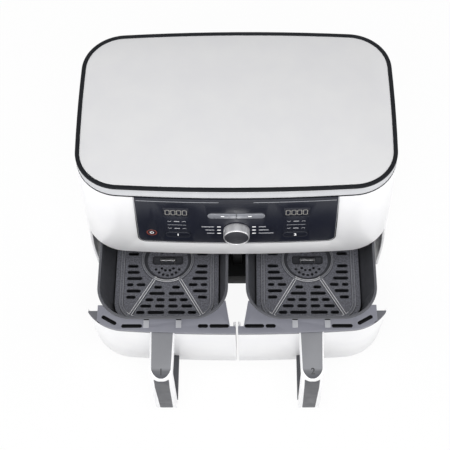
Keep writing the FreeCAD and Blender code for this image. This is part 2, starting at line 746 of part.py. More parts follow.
def make_panel():
    """Fascia with its bezel, and the openings for the displays, keys and dial."""
    bezel = new_body("fascia_bezel")
    sketch = sketch_on(bezel, "bezel_strip", "XY_Plane", panel_low)
    bow_strip(sketch, size.panel_width / 2, size.bezel_proud, size.casing_wall)
    pad(bezel, sketch, size.panel_height)
    inner_half = size.panel_width / 2 - size.bezel_width
    inner_low = panel_low + size.bezel_width
    inner_corner = size.panel_corner - size.bezel_width
    top = size.casing_top
    sketch = sketch_on(bezel, "bezel_opening", "XZ_Plane")
    polygon(sketch, [(-inner_half, inner_low, inner_corner), (inner_half, inner_low, inner_corner),
                     (inner_half, top + size.bezel_width), (-inner_half, top + size.bezel_width)])
    pocket(bezel, sketch, size.casing_depth, reverse=True)
    trim_corners(bezel, "bezel_corners", size.panel_width / 2, panel_low, size.panel_corner)
    place(bezel)
    keep(bezel, "fascia_bezel")

    fascia = new_body("control_fascia")
    sketch = sketch_on(fascia, "fascia_strip", "XY_Plane", inner_low)
    bow_strip(sketch, inner_half, size.fascia_proud, size.fascia_thick - size.fascia_proud)
    pad(fascia, sketch, top - inner_low)
    trim_corners(fascia, "fascia_corners", inner_half, inner_low, inner_corner)
    sketch = sketch_on(fascia, "fascia_openings", "XZ_Plane")
    for sign in (-1, 1):
        middle = size.display_x * sign
        half = size.display_width / 2 + size.seat_gap / 2
        rise = size.display_height / 2 + size.seat_gap / 2
        rectangle(sketch, middle - half, middle + half, size.display_z - rise, size.display_z + rise)
        key_outline(sketch, size.zone_x * sign, size.zone_z, size.zone_width, size.zone_height, size.key_gap)
    circle(sketch, -size.power_x, size.power_z, size.power_radius + size.key_gap)
    key_outline(sketch, as_size(0), size.pair_z, size.pair_width, size.pair_height, size.key_gap)
    circle(sketch, 0, size.dial_z, size.encoder_neck + size.spindle_fit)
    pocket(fascia, sketch, size.casing_depth, reverse=True)
    place(fascia)
    keep(fascia, "control_fascia")


def trim_corners(body, name, half, low, radius):
    """Rounds the two lower corners of a panel piece, seen from the front."""
    sketch = sketch_on(body, name, "XZ_Plane")
    margin = size.panel_corner
    for sign in (-1, 1):
        edge = half * sign
        arc_x = (half - radius) * sign
        turn = Part.Circle(Vector(arc_x.value, (low + radius).value, 0), Vector(0, 0, 1), radius.value)
        angles = (math.pi, 1.5 * math.pi) if sign < 0 else (1.5 * math.pi, 2 * math.pi)
        arc = sketch.addGeometry(Part.ArcOfCircle(turn, *angles), False)
        hold(sketch, "Radius", arc, length=radius)
        pin(sketch, arc, 3, arc_x, low + radius)
        side_point, low_point = (1, 2) if sign < 0 else (2, 1)
        outer = edge + margin * sign
        spots = [(edge, low + radius), (outer, low + radius), (outer, low - margin), (arc_x, low - margin),
                 (arc_x, low)]
        lines = []
        for a, b in zip(spots, spots[1:]):
            line = Part.LineSegment(Vector(a[0].value, a[1].value, 0), Vector(b[0].value, b[1].value, 0))
            lines.append(sketch.addGeometry(line, False))
        hold(sketch, "Coincident", lines[0], 1, arc, side_point)
        hold(sketch, "Coincident", lines[-1], 2, arc, low_point)
        hold(sketch, "Horizontal", lines[0])
        hold(sketch, "Vertical", lines[-1])
        for before, after in zip(lines, lines[1:]):
            hold(sketch, "Coincident", before, 2, after, 1)
        pin(sketch, lines[1], 1, spots[1][0], spots[1][1])
        pin(sketch, lines[2], 1, spots[2][0], spots[2][1])
    pocket(body, sketch, size.casing_depth, reverse=True)


def key_outline(sketch, across, up, width, height, gap=0.0):
    """Draws a key with round ends, let out by a gap."""
    reach = (width - height) / 2
    slot(sketch, (across - reach, up), (across + reach, up), height / 2 + gap)


def on_panel(thing, across, up):
    """Places a piece on the bowed panel, square to its face."""
    radius = CASING.front_radius + size.fascia_proud
    turn = Size(f"asin({across.text} / {radius.text})", math.degrees(math.asin(across.value / radius.value)))
    lean = Size(f"cos({turn.text})", math.cos(math.radians(turn.value)))
    thing.Placement.Rotation = Rotation(Vector(0, 0, 1), 1)
    bind(thing, "Placement.Rotation.Angle", turn)
    place(thing, across, CASING.front_radius - front - radius * lean, up)


def make_panel_pieces():
    """Display lenses and keys, each modelled about the middle of its face."""
    for side, sign in DRAWER_SIDES:
        lens = new_body(f"{side}_display_lens")
        sketch = sketch_on(lens, f"{side}_lens_face", "XZ_Plane")
        half = size.display_width / 2
        rise = size.display_height / 2
        rectangle(sketch, -half, half, -rise, rise)
        pad(lens, sketch, size.fascia_thick - size.seat_gap, reverse=True)
        on_panel(lens, size.display_x * sign, size.display_z)
        keep(lens, f"{side}_display_lens")

        key = new_body(f"{side}_zone_key")
        sketch = sketch_on(key, f"{side}_zone_face", "XZ_Plane", size.key_proud)
        key_outline(sketch, as_size(0), as_size(0), size.zone_width, size.zone_height)
        pad(key, sketch, size.key_thick, reverse=True)
        on_panel(key, size.zone_x * sign, size.zone_z)
        keep(key, f"{side}_zone_key")

    power = new_body("power_key")
    sketch = sketch_on(power, "power_face", "XZ_Plane", size.key_proud)
    circle(sketch, 0, 0, size.power_radius)
    pad(power, sketch, size.key_thick, reverse=True)
    on_panel(power, -size.power_x, size.power_z)
    keep(power, "power_key")

    for name, sign in (("sync_key", -1), ("match_key", 1)):
        key = new_body(name)
        sketch = sketch_on(key, f"{name}_face", "XZ_Plane", size.key_proud)
        key_outline(sketch, as_size(0), as_size(0), size.pair_width, size.pair_height)
        pad(key, sketch, size.key_thick, reverse=True)
        sketch = sketch_on(key, f"{name}_half", "XZ_Plane", size.key_proud)
        edges = sorted([as_size(-sign) * size.pair_width, size.pair_gap / 2 * sign], key=lambda e: e.value)
        rectangle(sketch, edges[0], edges[1], -size.pair_height, size.pair_height)
        pocket(key, sketch, size.key_thick)
        on_panel(key, as_size(0), size.pair_z)
        keep(key, name)


def make_dial():
    """Dial with its button, and the encoder behind it with the control board."""
    face = front + size.fascia_proud
    ring = new_body("dial_ring")
    inner = size.dial_radius - size.dial_rim
    floor = size.dial_length - size.button_thick - size.button_travel - size.seat_gap
    spindle = size.dial_lift + size.fascia_thick + size.encoder_depth / 2
    sketch = sketch_on(ring, "dial_section", "XZ_Plane")
    polygon(sketch, [(0, -spindle), (size.spindle_radius - size.spindle_fit, -spindle),
                     (size.spindle_radius - size.spindle_fit, 0), (size.dial_radius, 0),
                     (size.dial_radius - size.seat_gap, size.dial_length), (inner, size.dial_length),
                     (inner, floor), (0, floor)])
    revolve(ring, sketch)
    button = new_body("dial_button")
    sketch = sketch_on(button, "button_section", "XZ_Plane")
    low = size.dial_length - size.button_thick
    edge = inner - size.key_gap
    polygon(sketch, [(0, low), (edge, low), (edge, size.dial_length - size.seat_gap), (0, size.dial_length)])
    revolve(button, sketch)
    for piece in (ring, button):
        piece.Placement.Rotation = Rotation(Vector(1, 0, 0), 90)
        place(piece, 0, -(face + size.dial_lift), size.dial_z)
        keep(piece, piece.Name)

    behind = size.fascia_thick - size.fascia_proud - front
    encoder = new_body("dial_encoder")
    sketch = sketch_on(encoder, "encoder_block", "XZ_Plane", -behind)
    half = size.encoder_width / 2
    rectangle(sketch, -half, half, size.dial_z - half, size.dial_z + half)
    pad(encoder, sketch, size.encoder_depth, reverse=True)
    sketch = sketch_on(encoder, "encoder_neck_round", "XZ_Plane", -behind)
    circle(sketch, 0, size.dial_z, size.encoder_neck)
    pad(encoder, sketch, size.fascia_thick)
    sketch = sketch_on(encoder, "encoder_bore", "XZ_Plane", face)
    circle(sketch, 0, size.dial_z, size.spindle_radius)
    pocket(encoder, sketch, size.fascia_thick + size.encoder_depth)
    place(encoder)
    keep(encoder, "dial_encoder")

    board_near = behind + size.encoder_depth
    middle = panel_low + size.panel_height / 2
    board = box("control_board", -size.board_width / 2, size.board_width / 2, board_near + frame_shift,
                board_near + size.board_thick + frame_shift, middle - size.board_height / 2,
                middle + size.board_height / 2)
    keep(board, "control_board")


def make_base():
    """Bottom plate with its feet and screws, the tray under the pans and the wall between the drawers."""
    plate = new_body("base_plate")
    sketch = sketch_on(plate, "base_outline", "XY_Plane", size.foot_height)
    rectangle(sketch, -size.base_half_width, size.base_half_width, -size.base_front, size.base_back,
              size.casing_corner)
    pad(plate, sketch, size.base_thick)
    sketch = sketch_on(plate, "base_vents", "XY_Plane", size.foot_height)
    reach = size.vent_length / 2
    for row in range(-2, 3):
        along = size.vent_pitch * row + (size.base_back - size.base_front) / 2
        slot(sketch, (size.pan_x - reach, along), (size.pan_x + reach, along), size.vent_height / 2)
    vents = pocket(plate, sketch, size.base_thick, reverse=True)
    mirror(plate, "base_vents_mirrored", [vents], sketch)
    place(plate)
    keep(plate, "base_plate")

    feet = []
    screws = []
    for side in (-1, 1):
        for row, along in (("front", -size.foot_front), ("back", size.foot_back)):
            name = f"{row}_{'left' if side < 0 else 'right'}"
            foot = doc.addObject("Part::Cone", f"foot_{name}")
            bind(foot, "Radius1", size.foot_radius - size.base_thick / 2)
            bind(foot, "Radius2", size.foot_radius)
            bind(foot, "Height", size.foot_height)
            place(foot, size.foot_x * side, along, 0)
            feet.append(foot)
            inner = size.foot_x * side - (size.foot_radius + size.screw_radius * 2) * side
            screws.append(cylinder(f"screw_{name}", inner, along + frame_shift,
                                   size.foot_height - size.screw_head, size.screw_radius, size.screw_head))
    keep(group("rubber_feet", feet), "rubber_feet")
    keep(group("case_screws", screws), "case_screws")

    tray = new_body("base_tray")
    sketch = sketch_on(tray, "tray_outline", "XY_Plane", size.deck_height)
    CASING.draw(sketch, size.tray_inset, front_line(size.deck_height))
    pad(tray, sketch, size.deck_height - base_top, lean=True)
    sketch = sketch_on(tray, "tray_sides", "XY_Plane", size.deck_height)
    rectangle(sketch, -far, far, -far, far)
    CASING.draw(sketch, size.casing_wall + size.seat_gap)
    pocket(tray, sketch, size.deck_height)
    sketch = sketch_on(tray, "tray_hollow", "XY_Plane", base_top)
    hollow_half = size.base_half_width - size.tray_wall
    rectangle(sketch, -hollow_half, hollow_half, size.tray_wall - size.base_front,
              size.base_back - size.tray_wall, size.casing_corner)
    pocket(tray, sketch, size.deck_height - base_top - size.tray_wall, reverse=True)
    sketch = sketch_on(tray, "runners", "XY_Plane", size.deck_height)
    for side in (-1, 1):
        for half in (-1, 1):
            middle = size.pan_x * side + size.rail_spacing / 2 * half
            near = size.tray_wall - size.base_front + size.rail_width
            rectangle(sketch, middle - size.rail_width / 2, middle + size.rail_width / 2, near,
                      near + size.rail_length)
    pad(tray, sketch, pan_underside - size.seat_gap - size.deck_height)
    place(tray)
    keep(tray, "base_tray")

    post = new_body("centre_post")
    sketch = sketch_on(post, "post_side", "YZ_Plane")
    near = seam - size.casing_wall * 4
    back = front - size.casing_wall - size.seat_gap
    polygon(sketch, [(near + front_line(size.deck_height), size.deck_height), (back, size.deck_height),
                     (back, size.split_height), (near, size.split_height)])
    pad(post, sketch, size.post_thick, both=True)
    place(post)
    keep(post, "centre_post")


def make_inside():
    """Steel shelf over the drawers and, on each side, liner, guard, heater, fan and motor."""
    shelf = new_body("deck_plate")
    sketch = sketch_on(shelf, "shelf_outline", "XY_Plane", shelf_low)
    CASING.draw(sketch, size.casing_wall + size.seat_gap)
    for side in (-1, 1):
        circle(sketch, size.pan_x * side, rim_y, size.port_radius)
    pad(shelf, sketch, size.shelf_thick)
    place(shelf)
    keep(shelf, "deck_plate")

    guard_top = shelf_top + size.guard_thick
    can_top = guard_top + size.can_height
    for side, sign in DRAWER_SIDES:
        middle = size.pan_x * sign
        make_liner(side, middle)
        make_guard(side, middle)
        make_can(side, middle, guard_top)
        make_coil(side, middle, guard_top + size.coil_lift, can_top + size.coil_tube * 3)
        make_fan(side, middle, can_top)


def make_liner(side, middle):
    """Sheet-steel walls round a pan, open at the front, top and bottom."""
    liner = new_body(f"{side}_cavity_liner")
    half = size.rim_width / 2 + size.liner_gap
    back = rim_back + size.liner_gap / 2
    sketch = sketch_on(liner, f"{side}_liner_outer", "XY_Plane", size.deck_height)
    outer = half + size.sheet_thick
    rectangle(sketch, -outer, outer, -front, back + size.sheet_thick, size.liner_corner)
    pad(liner, sketch, shelf_low - size.seat_gap - size.deck_height)
    sketch = sketch_on(liner, f"{side}_liner_inner", "XY_Plane", size.deck_height)
    rectangle(sketch, -half, half, size.sheet_thick - front, back, size.liner_corner - size.sheet_thick)
    pocket(liner, sketch, size.split_height, reverse=True)
    sketch = sketch_on(liner, f"{side}_liner_mouth", "YZ_Plane")
    mouth = seam + size.seat_gap
    polygon(sketch, [(-far, 0), (mouth + front_line(as_size(0)), 0),
                     (mouth + front_line(size.casing_top), size.casing_top), (-far, size.casing_top)])
    pocket(liner, sketch, far, both=True)
    place(liner, middle)
    keep(liner, f"{side}_cavity_liner")


def make_guard(side, middle):
    """Round stamped grille under the heater."""
    guard = new_body(f"{side}_heater_guard")
    sketch = sketch_on(guard, f"{side}_guard_disc", "XY_Plane")
    circle(sketch, 0, 0, size.guard_radius)
    pad(guard, sketch, size.guard_thick)
    sketch = sketch_on(guard, f"{side}_guard_gap", "XY_Plane")
    web = size.blade_thick * 3
    ring = size.port_radius / 2
    for low, high in ((size.fan_hub, ring), (ring + web, size.port_radius - web)):
        wedge(sketch, low, high, GUARD_SPOKES, web)
    gap = pocket(guard, sketch, size.guard_thick, reverse=True)
    turns = guard.newObject("PartDesign::PolarPattern", f"{side}_guard_turns")
    turns.Originals = [gap]
    turns.Axis = (sketch, ["N_Axis"])
    turns.Angle = 360
    turns.Occurrences = GUARD_SPOKES
    guard.Tip = turns
    place(guard, middle, rim_y, shelf_top)
    keep(guard, f"{side}_heater_guard")


def wedge(sketch, low, high, count, web):
    """Draws one opening of a ring of openings with straight webs between them."""
    half = math.pi / count
    spots = []
    for radius in (low, high):
        swing = half - math.asin(web.value / 2 / radius.value)
        spots.append((radius, swing))
    corners = []
    for radius, swing, sign in ((spots[0][0], spots[0][1], -1), (spots[1][0], spots[1][1], -1),
                                (spots[1][0], spots[1][1], 1), (spots[0][0], spots[0][1], 1)):
        corners.append((radius * math.cos(swing), radius * (math.sin(swing) * sign)))
    polygon(sketch, corners)


def make_can(side, middle, low):
    """Deep-drawn steel can over the heater and fan."""
    can = new_body(f"{side}_heater_can")
    sketch = sketch_on(can, f"{side}_can_section", "XZ_Plane")
    bore = size.shaft_radius * 2
    inner = size.can_radius - size.sheet_thick
    top = size.can_height
    polygon(sketch, [(size.can_radius, size.sheet_thick), (size.can_radius, top), (bore, top),
                     (bore, top - size.sheet_thick), (inner, top - size.sheet_thick), (inner, 0),
                     (size.can_flange, 0), (size.can_flange, size.sheet_thick)][::-1])
    revolve(can, sketch)
    sketch = sketch_on(can, f"{side}_terminal_holes", "XY_Plane")
    for radius in (size.coil_inner, size.coil_outer):
        circle(sketch, radius, size.coil_tube * -2, size.coil_tube + size.seat_gap)
    pocket(can, sketch, size.can_height, reverse=True)
    place(can, middle, rim_y, low)
    keep(can, f"{side}_heater_can")


def make_coil(side, middle, height, terminal_top):
    """Tubular heater: an inner turn folded back into an outer turn, with two legs up through the can."""
    inner = size.coil_inner.value
    outer = size.coil_outer.value
    tube = size.coil_tube.value
    bend = tube * 2
    up = Vector(0, 0, 1)
    leg = terminal_top.value - height.value
    fold = (inner + outer) / 2
    stop = math.radians(360 - COIL_GAP)
    way = Vector(-math.sin(stop), math.cos(stop), 0)
    out = Vector(math.cos(stop), math.sin(stop), 0)

    def quarter(foot):
        """Bend between a level run starting at a foot and the leg above it."""
        high = foot + Vector(0, -bend, bend)
        half = foot + Vector(0, -math.sin(math.pi / 4) * bend, bend - math.cos(math.pi / 4) * bend)
        return high, half

    def turn(radius):
        """Nearly full level turn from the legs round to the fold."""
        half = Vector(math.cos(stop / 2), math.sin(stop / 2), 0) * radius
        return Part.Arc(Vector(radius, 0, 0), half, out * radius)

    inner_high, inner_half = quarter(Vector(inner, 0, 0))
    outer_high, outer_half = quarter(Vector(outer, 0, 0))
    apex = out * fold + way * (fold - inner)
    pieces = [
        Part.LineSegment(inner_high + up * (leg - bend), inner_high),
        Part.Arc(inner_high, inner_half, Vector(inner, 0, 0)),
        turn(inner),
        Part.Arc(out * inner, apex, out * outer),
        turn(outer),
        Part.Arc(Vector(outer, 0, 0), outer_half, outer_high),
        Part.LineSegment(outer_high, outer_high + up * (leg - bend)),
    ]
    path = Part.Wire(Part.__sortEdges__([piece.toShape() for piece in pieces]))
    start = inner_high + up * (leg - bend)
    ring = Part.Wire(Part.Circle(start, up, tube).toShape())
    coil = doc.addObject("Part::Feature", f"{side}_heater_coil")
    coil.Shape = path.makePipeShell([ring], True, False)
    place(coil, middle, rim_y, height)
    return keep(coil, f"{side}_heater_coil")


def make_fan(side, middle, can_top):
    """Convection fan on its shaft, and the motor above the can."""
    fan = new_body(f"{side}_convection_fan")
    sketch = sketch_on(fan, f"{side}_fan_disc", "XY_Plane")
    circle(sketch, 0, 0, size.fan_radius)
    pad(fan, sketch, size.blade_thick, reverse=True)
    sketch = sketch_on(fan, f"{side}_fan_hub", "XY_Plane")
    circle(sketch, 0, 0, size.fan_hub)
    pad(fan, sketch, size.fan_height, reverse=True)
    sketch = sketch_on(fan, f"{side}_fan_blade", "XY_Plane")
    rectangle(sketch, size.fan_hub - size.blade_thick, size.fan_radius, -size.blade_thick / 2,
              size.blade_thick / 2)
    blade = pad(fan, sketch, size.fan_height, reverse=True)
    blades = fan.newObject("PartDesign::PolarPattern", f"{side}_fan_blades")
    blades.Originals = [blade]
    blades.Axis = (sketch, ["N_Axis"])
    blades.Angle = 360
    blades.Occurrences = FAN_BLADES
    fan.Tip = blades
    sketch = sketch_on(fan, f"{side}_fan_bore", "XY_Plane")
    circle(sketch, 0, 0, size.shaft_radius)
    pocket(fan, sketch, size.fan_height)
    place(fan, middle, rim_y, can_top - size.fan_drop)
    keep(fan, f"{side}_convection_fan")

    motor = new_body(f"{side}_fan_motor")
    sketch = sketch_on(motor, f"{side}_motor_section", "XZ_Plane")
    bore = size.shaft_radius + size.spindle_fit
    lip = size.blade_thick * 2
    chamfer = size.motor_radius / 6
    polygon(sketch, [(bore, 0), (size.motor_flange, 0), (size.motor_flange, lip), (size.motor_radius, lip),
                     (size.motor_radius, size.motor_height - chamfer),
                     (size.motor_radius - chamfer, size.motor_height), (bore, size.motor_height)])
    revolve(motor, sketch)
    place(motor, middle, rim_y, can_top)
    keep(motor, f"{side}_fan_motor")

    low = can_top - size.fan_drop - size.fan_height
    shaft = cylinder(f"{side}_motor_shaft", middle, rim_y + frame_shift, low, size.shaft_radius,
                     can_top + size.motor_height + size.shaft_tail - low)
    keep(shaft, f"{side}_motor_shaft")


def make_pan(side, middle):
    """Coated pan with sloping walls and a flat rim."""
    pan = new_body(f"{side}_pan")
    half_top = size.rim_width / 2 - size.rim_lip
    half_low = size.floor_width / 2

    def level(name, height, half, near, back, corner, grow):
        """One of the four outlines that the walls run between."""
        sketch = sketch_on(pan, f"{side}_pan_{name}", "XY_Plane", height)
        rectangle(sketch, -(half + grow), half + grow, near - grow, back + grow, corner + grow)
        settle(sketch)
        return sketch

    top = (half_top, rim_front + size.rim_lip, rim_back - size.rim_lip, size.rim_corner - size.rim_lip)
    low = (half_low, rim_front + size.floor_front, rim_back - size.floor_back, size.floor_corner)
    outer = pan.newObject("PartDesign::AdditiveLoft", f"{side}_pan_outside")
    outer.Profile = level("outer_top", ledge_top, *top, size.pan_wall)
    outer.Sections = [level("outer_low", pan_underside, *low, size.pan_wall)]
    outer.Ruled = True
    sketch = sketch_on(pan, f"{side}_pan_rim", "XY_Plane", ledge_top)
    half = size.rim_width / 2
    rectangle(sketch, -half, half, rim_front, rim_back, size.rim_corner)
    pad(pan, sketch, size.rim_thick, reverse=True)
    inside = pan.newObject("PartDesign::SubtractiveLoft", f"{side}_pan_inside")
    inside.Profile = level("inner_top", ledge_top, *top, as_size(0))
    inside.Sections = [level("inner_low", size.floor_height, *low, as_size(0))]
    inside.Ruled = True
    pan.Tip = inside
    place(pan, middle, 0, 0, pulled=True)
    keep(pan, f"{side}_pan")


def cut_to_side(body, sign):
    """Cuts a drawer piece back to its own side of the middle."""
    sketch = sketch_on(body, f"{body.Name}_middle", "XY_Plane", size.casing_top)
    edge = size.drawer_gap / 2 * sign
    if sign < 0:
        rectangle(sketch, edge, far, -far, far)
    else:
        rectangle(sketch, -far, edge, -far, far)
    pocket(body, sketch, size.casing_top)


def cut_behind_seam(body):
    """Cuts a drawer piece off along the leaning seam with the casing."""
    sketch = sketch_on(body, f"{body.Name}_seam", "YZ_Plane")
    edge = seam - size.fit_gap
    polygon(sketch, [(edge + front_line(as_size(0)), 0), (far, 0), (far, size.casing_top),
                     (edge + front_line(size.casing_top), size.casing_top)])
    pocket(body, sketch, far, both=True)


def make_front(side, sign):
    """Leaning drawer front with its inner end, its ledge and the pan clips."""
    shell = new_body(f"{side}_drawer_front")
    height = ledge_bottom - size.drawer_foot
    sketch = sketch_on(shell, f"{side}_front_outside", "XY_Plane", ledge_bottom)
    CASING.draw(sketch, size.fit_gap, front_line(ledge_bottom))
    pad(shell, sketch, height, lean=True)
    sketch = sketch_on(shell, f"{side}_front_inside", "XY_Plane", ledge_bottom)
    CASING.draw(sketch, size.fit_gap + size.casing_wall, front_line(ledge_bottom))
    pocket(shell, sketch, height, lean=True)
    cut_behind_seam(shell)
    cut_to_side(shell, sign)
    sketch = sketch_on(shell, f"{side}_front_end", "YZ_Plane", size.drawer_gap / 2 * sign)
    face = size.fit_gap * 2 - front
    deep = face + size.front_return
    shallow = size.tray_inset - size.fit_gap - front
    above_tray = size.deck_height + size.fit_gap
    polygon(sketch, [(face + front_line(size.drawer_foot), size.drawer_foot),
                     (shallow + front_line(size.drawer_foot), size.drawer_foot),
                     (shallow + front_line(above_tray), above_tray),
                     (deep + front_line(above_tray), above_tray),
                     (deep + front_line(ledge_bottom), ledge_bottom),
                     (face + front_line(ledge_bottom), ledge_bottom)])
    pad(shell, sketch, size.casing_wall, reverse=sign < 0)
    place(shell, pulled=True)
    keep(shell, f"{side}_drawer_front")

    make_ledge(side, sign)
    make_tabs(side, sign)


def ledge_back(sign):
    """Corners of what is cut from behind a ledge: beside the post, behind its two ends and past its flap."""
    post_side = size.post_thick / 2 + size.ledge_clear
    tip_side = size.pan_x - size.rim_width / 2 + size.ledge_slant
    end_side = size.pan_x + size.rim_width / 2 - size.ledge_clear
    flap_side = size.casing_width / 2 - size.flap_side
    step = size.ledge_step - front
    tip = size.ledge_tip - front
    end = size.ledge_outer - front
    flap = seam - size.flap_gap
    corners = [(as_size(0), step), (post_side, step), (tip_side, tip), (size.pan_x, tip), (size.pan_x, end),
               (end_side, end), (end_side, flap), (flap_side, flap), (flap_side, -front), (far, -front),
               (far, far), (as_size(0), far)]
    if sign > 0:
        return corners
    return [(-across, along) for across, along in reversed(corners)]


def make_ledge(side, sign):
    """Grey ledge that carries the pan's rim, with four grooves and a lower flap at its outer end."""
    middle = size.pan_x * sign
    ledge = new_body(f"{side}_ledge_trim")
    sketch = sketch_on(ledge, f"{side}_ledge_outside", "XY_Plane", ledge_top)
    CASING.draw(sketch, size.fit_gap, front_line(ledge_top))
    pad(ledge, sketch, size.ledge_thick, lean=True)
    cut_to_side(ledge, sign)
    sketch = sketch_on(ledge, f"{side}_ledge_back", "XY_Plane", ledge_top)
    polygon(sketch, ledge_back(sign))
    pocket(ledge, sketch, size.ledge_thick)
    sketch = sketch_on(ledge, f"{side}_ledge_hole", "XY_Plane", ledge_top)
    half = size.rim_width / 2 + size.seat_gap
    rectangle(sketch, middle - half, middle + half, rim_front - size.seat_gap, rim_back + size.seat_gap,
              size.rim_corner + size.seat_gap)
    pocket(ledge, sketch, size.ledge_thick)
    sketch = sketch_on(ledge, f"{side}_ledge_flap", "XY_Plane", ledge_top)
    edges = [(size.pan_x + size.rim_width / 2 - size.ledge_clear) * sign, far * sign]
    left, right = edges if sign > 0 else edges[::-1]
    rectangle(sketch, left, right, -front, front)
    pocket(ledge, sketch, size.flap_drop)
    sketch = sketch_on(ledge, f"{side}_ledge_grooves", "XY_Plane", ledge_top)
    row = size.groove_front - front
    for (out_a, back_a), (out_b, back_b) in LEDGE_GROOVES:
        slot(sketch, (middle + size.rim_width * (out_a * sign), row + size.ledge_depth * back_a),
             (middle + size.rim_width * (out_b * sign), row + size.ledge_depth * back_b),
             size.groove_width / 2)
    pocket(ledge, sketch, size.ledge_thick - size.groove_floor)
    place(ledge, pulled=True)
    keep(ledge, f"{side}_ledge_trim")


def make_tabs(side, sign):
    """Two steel clips on the ledge in front of the pan's rim."""
    shift = frame_shift - size.drawer_pull
    back = rim_front - size.tab_gap + shift
    tabs = []
    for half in (-1, 1):
        across = size.handle_x * sign + size.tab_spacing / 2 * half
        tabs.append(box(f"{side}_tab_{'inner' if half == -sign else 'outer'}", across - size.tab_width / 2,
                        across + size.tab_width / 2, back - size.tab_length, back, ledge_top,
                        ledge_top + size.tab_thick))
    keep(group(f"{side}_ledge_tabs", tabs), f"{side}_ledge_tabs")


def stem_front(height):
    """Front of the handle's grip at a height."""
    bar_low = size.handle_top - size.handle_bar
    return nose + size.stem_lean * ((bar_low - height) / (bar_low - size.stem_foot))


def stem_back(height):
    """Back of the handle's grip at a height."""
    low = nose + size.stem_lean + size.stem_tip
    bar_low = size.handle_top - size.handle_bar
    return low + (nose + size.stem_depth - low) * ((height - size.stem_foot) / (bar_low - size.stem_foot))


def cut_to_front(body, name):
    """Cuts a handle piece to sit on the leaning drawer front."""
    sketch = sketch_on(body, name, "XY_Plane", size.split_height)
    CASING.draw(sketch, size.fit_gap)
    pocket(body, sketch, size.split_height, lean=True)


def make_handle(side, sign):
    """Looped handle: white shell, grey inlays on its top and grip, and a dark lower bar."""
    middle = size.handle_x * sign
    bar_low = size.handle_top - size.handle_bar
    root = rim_front
    nose_half = size.handle_nose / 2
    wide = size.handle_root

    blank = new_body(f"{side}_handle_blank")
    sketch = sketch_on(blank, f"{side}_handle_side", "YZ_Plane", middle)
    polygon(sketch, [(root, bar_low), (root, size.handle_top), (nose, size.handle_top, size.nose_radius),
                     (nose, bar_low), (stem_front(size.stem_foot), size.stem_foot, size.inlay_rim * 2),
                     (stem_back(size.stem_foot), size.stem_foot),
                     (stem_back(bar_low), bar_low, size.nose_radius - size.inlay_rim * 2)])
    pad(blank, sketch, size.handle_root, both=True)
    trim_plan(blank, f"{side}_handle_plan", middle, as_size(0), root)
    sketch = sketch_on(blank, f"{side}_handle_taper", "XZ_Plane")
    foot_half = size.stem_width / 2
    polygon(sketch, [(middle + foot_half, size.stem_foot), (middle + wide, size.stem_foot),
                     (middle + wide, bar_low), (middle + nose_half, bar_low)])
    polygon(sketch, [(middle - wide, size.stem_foot), (middle - foot_half, size.stem_foot),
                     (middle - nose_half, bar_low), (middle - wide, bar_low)])
    pocket(blank, sketch, far, reverse=True)
    cut_to_front(blank, f"{side}_handle_seat")

    top_zone = new_body(f"{side}_top_zone")
    sketch = sketch_on(top_zone, f"{side}_top_zone_side", "YZ_Plane", middle)
    level = size.handle_top - size.inlay_thick
    deep = size.handle_top - size.inlay_nose
    bend = nose + size.nose_radius
    step = size.inlay_nose - size.inlay_thick
    polygon(sketch, [(nose - wide, deep), (bend - step, deep), (bend, level), (root - size.inlay_rim, level),
                     (root - size.inlay_rim, size.split_height), (nose - wide, size.split_height)])
    pad(top_zone, sketch, size.handle_root, both=True)
    trim_plan(top_zone, f"{side}_top_zone_plan", middle, size.inlay_rim, root)

    front_zone = new_body(f"{side}_front_zone")
    sketch = sketch_on(front_zone, f"{side}_front_zone_side", "YZ_Plane", middle)
    low = size.stem_foot + size.front_inlay_low
    high = size.handle_top - size.inlay_nose - size.nose_band
    thick = size.front_inlay_thick
    polygon(sketch, [(nose - wide, low), (stem_front(low) + thick, low), (stem_front(high) + thick, high),
                     (nose - wide, high)])
    pad(front_zone, sketch, size.handle_root, both=True)
    sketch = sketch_on(front_zone, f"{side}_front_zone_face", "XZ_Plane")
    rectangle(sketch, middle - wide, middle + wide, low - wide, high + wide)
    foot = size.front_inlay_foot / 2
    head = size.front_inlay_top / 2
    polygon(sketch, [(middle - foot, low, size.inlay_rim), (middle + foot, low, size.inlay_rim),
                     (middle + head, high, size.inlay_rim), (middle - head, high, size.inlay_rim)])
    pocket(front_zone, sketch, far, reverse=True)

    open_top = cut(f"{side}_handle_open_top", blank, top_zone)
    shell = cut(f"{side}_handle_shell", open_top, front_zone)
    place(shell, pulled=True)
    keep(shell, f"{side}_handle_shell")
    inlays = group(f"{side}_handle_inlays", [common(f"{side}_top_inlay", [blank, top_zone]),
                                             common(f"{side}_front_inlay", [blank, front_zone])])
    place(inlays, pulled=True)
    keep(inlays, f"{side}_handle_inlays")

    grip = new_body(f"{side}_handle_grip")
    sketch = sketch_on(grip, f"{side}_grip_side", "YZ_Plane", middle)
    low = size.stem_foot
    high = low + size.return_thick
    polygon(sketch, [(stem_back(low), low), (front, low), (front, high), (stem_back(high), high)])
    pad(grip, sketch, size.return_width, both=True)
    cut_to_front(grip, f"{side}_grip_seat")
    place(grip, pulled=True)
    keep(grip, f"{side}_handle_grip")


def trim_plan(body, name, middle, inset, root):
    """Narrows a handle piece towards its round nose, seen from above."""
    sketch = sketch_on(body, name, "XY_Plane", size.split_height)
    wide = size.handle_root
    half = size.handle_nose / 2 - inset
    root_half = size.handle_root / 2 - inset
    rectangle(sketch, middle - wide, middle + wide, nose - wide, root + wide)
    rounding = half - size.fit_gap
    polygon(sketch, [(middle - half, nose + inset, rounding), (middle + half, nose + inset, rounding),
                     (middle + root_half, root + wide / 2), (middle - root_half, root + wide / 2)])
    pocket(body, sketch, size.split_height)


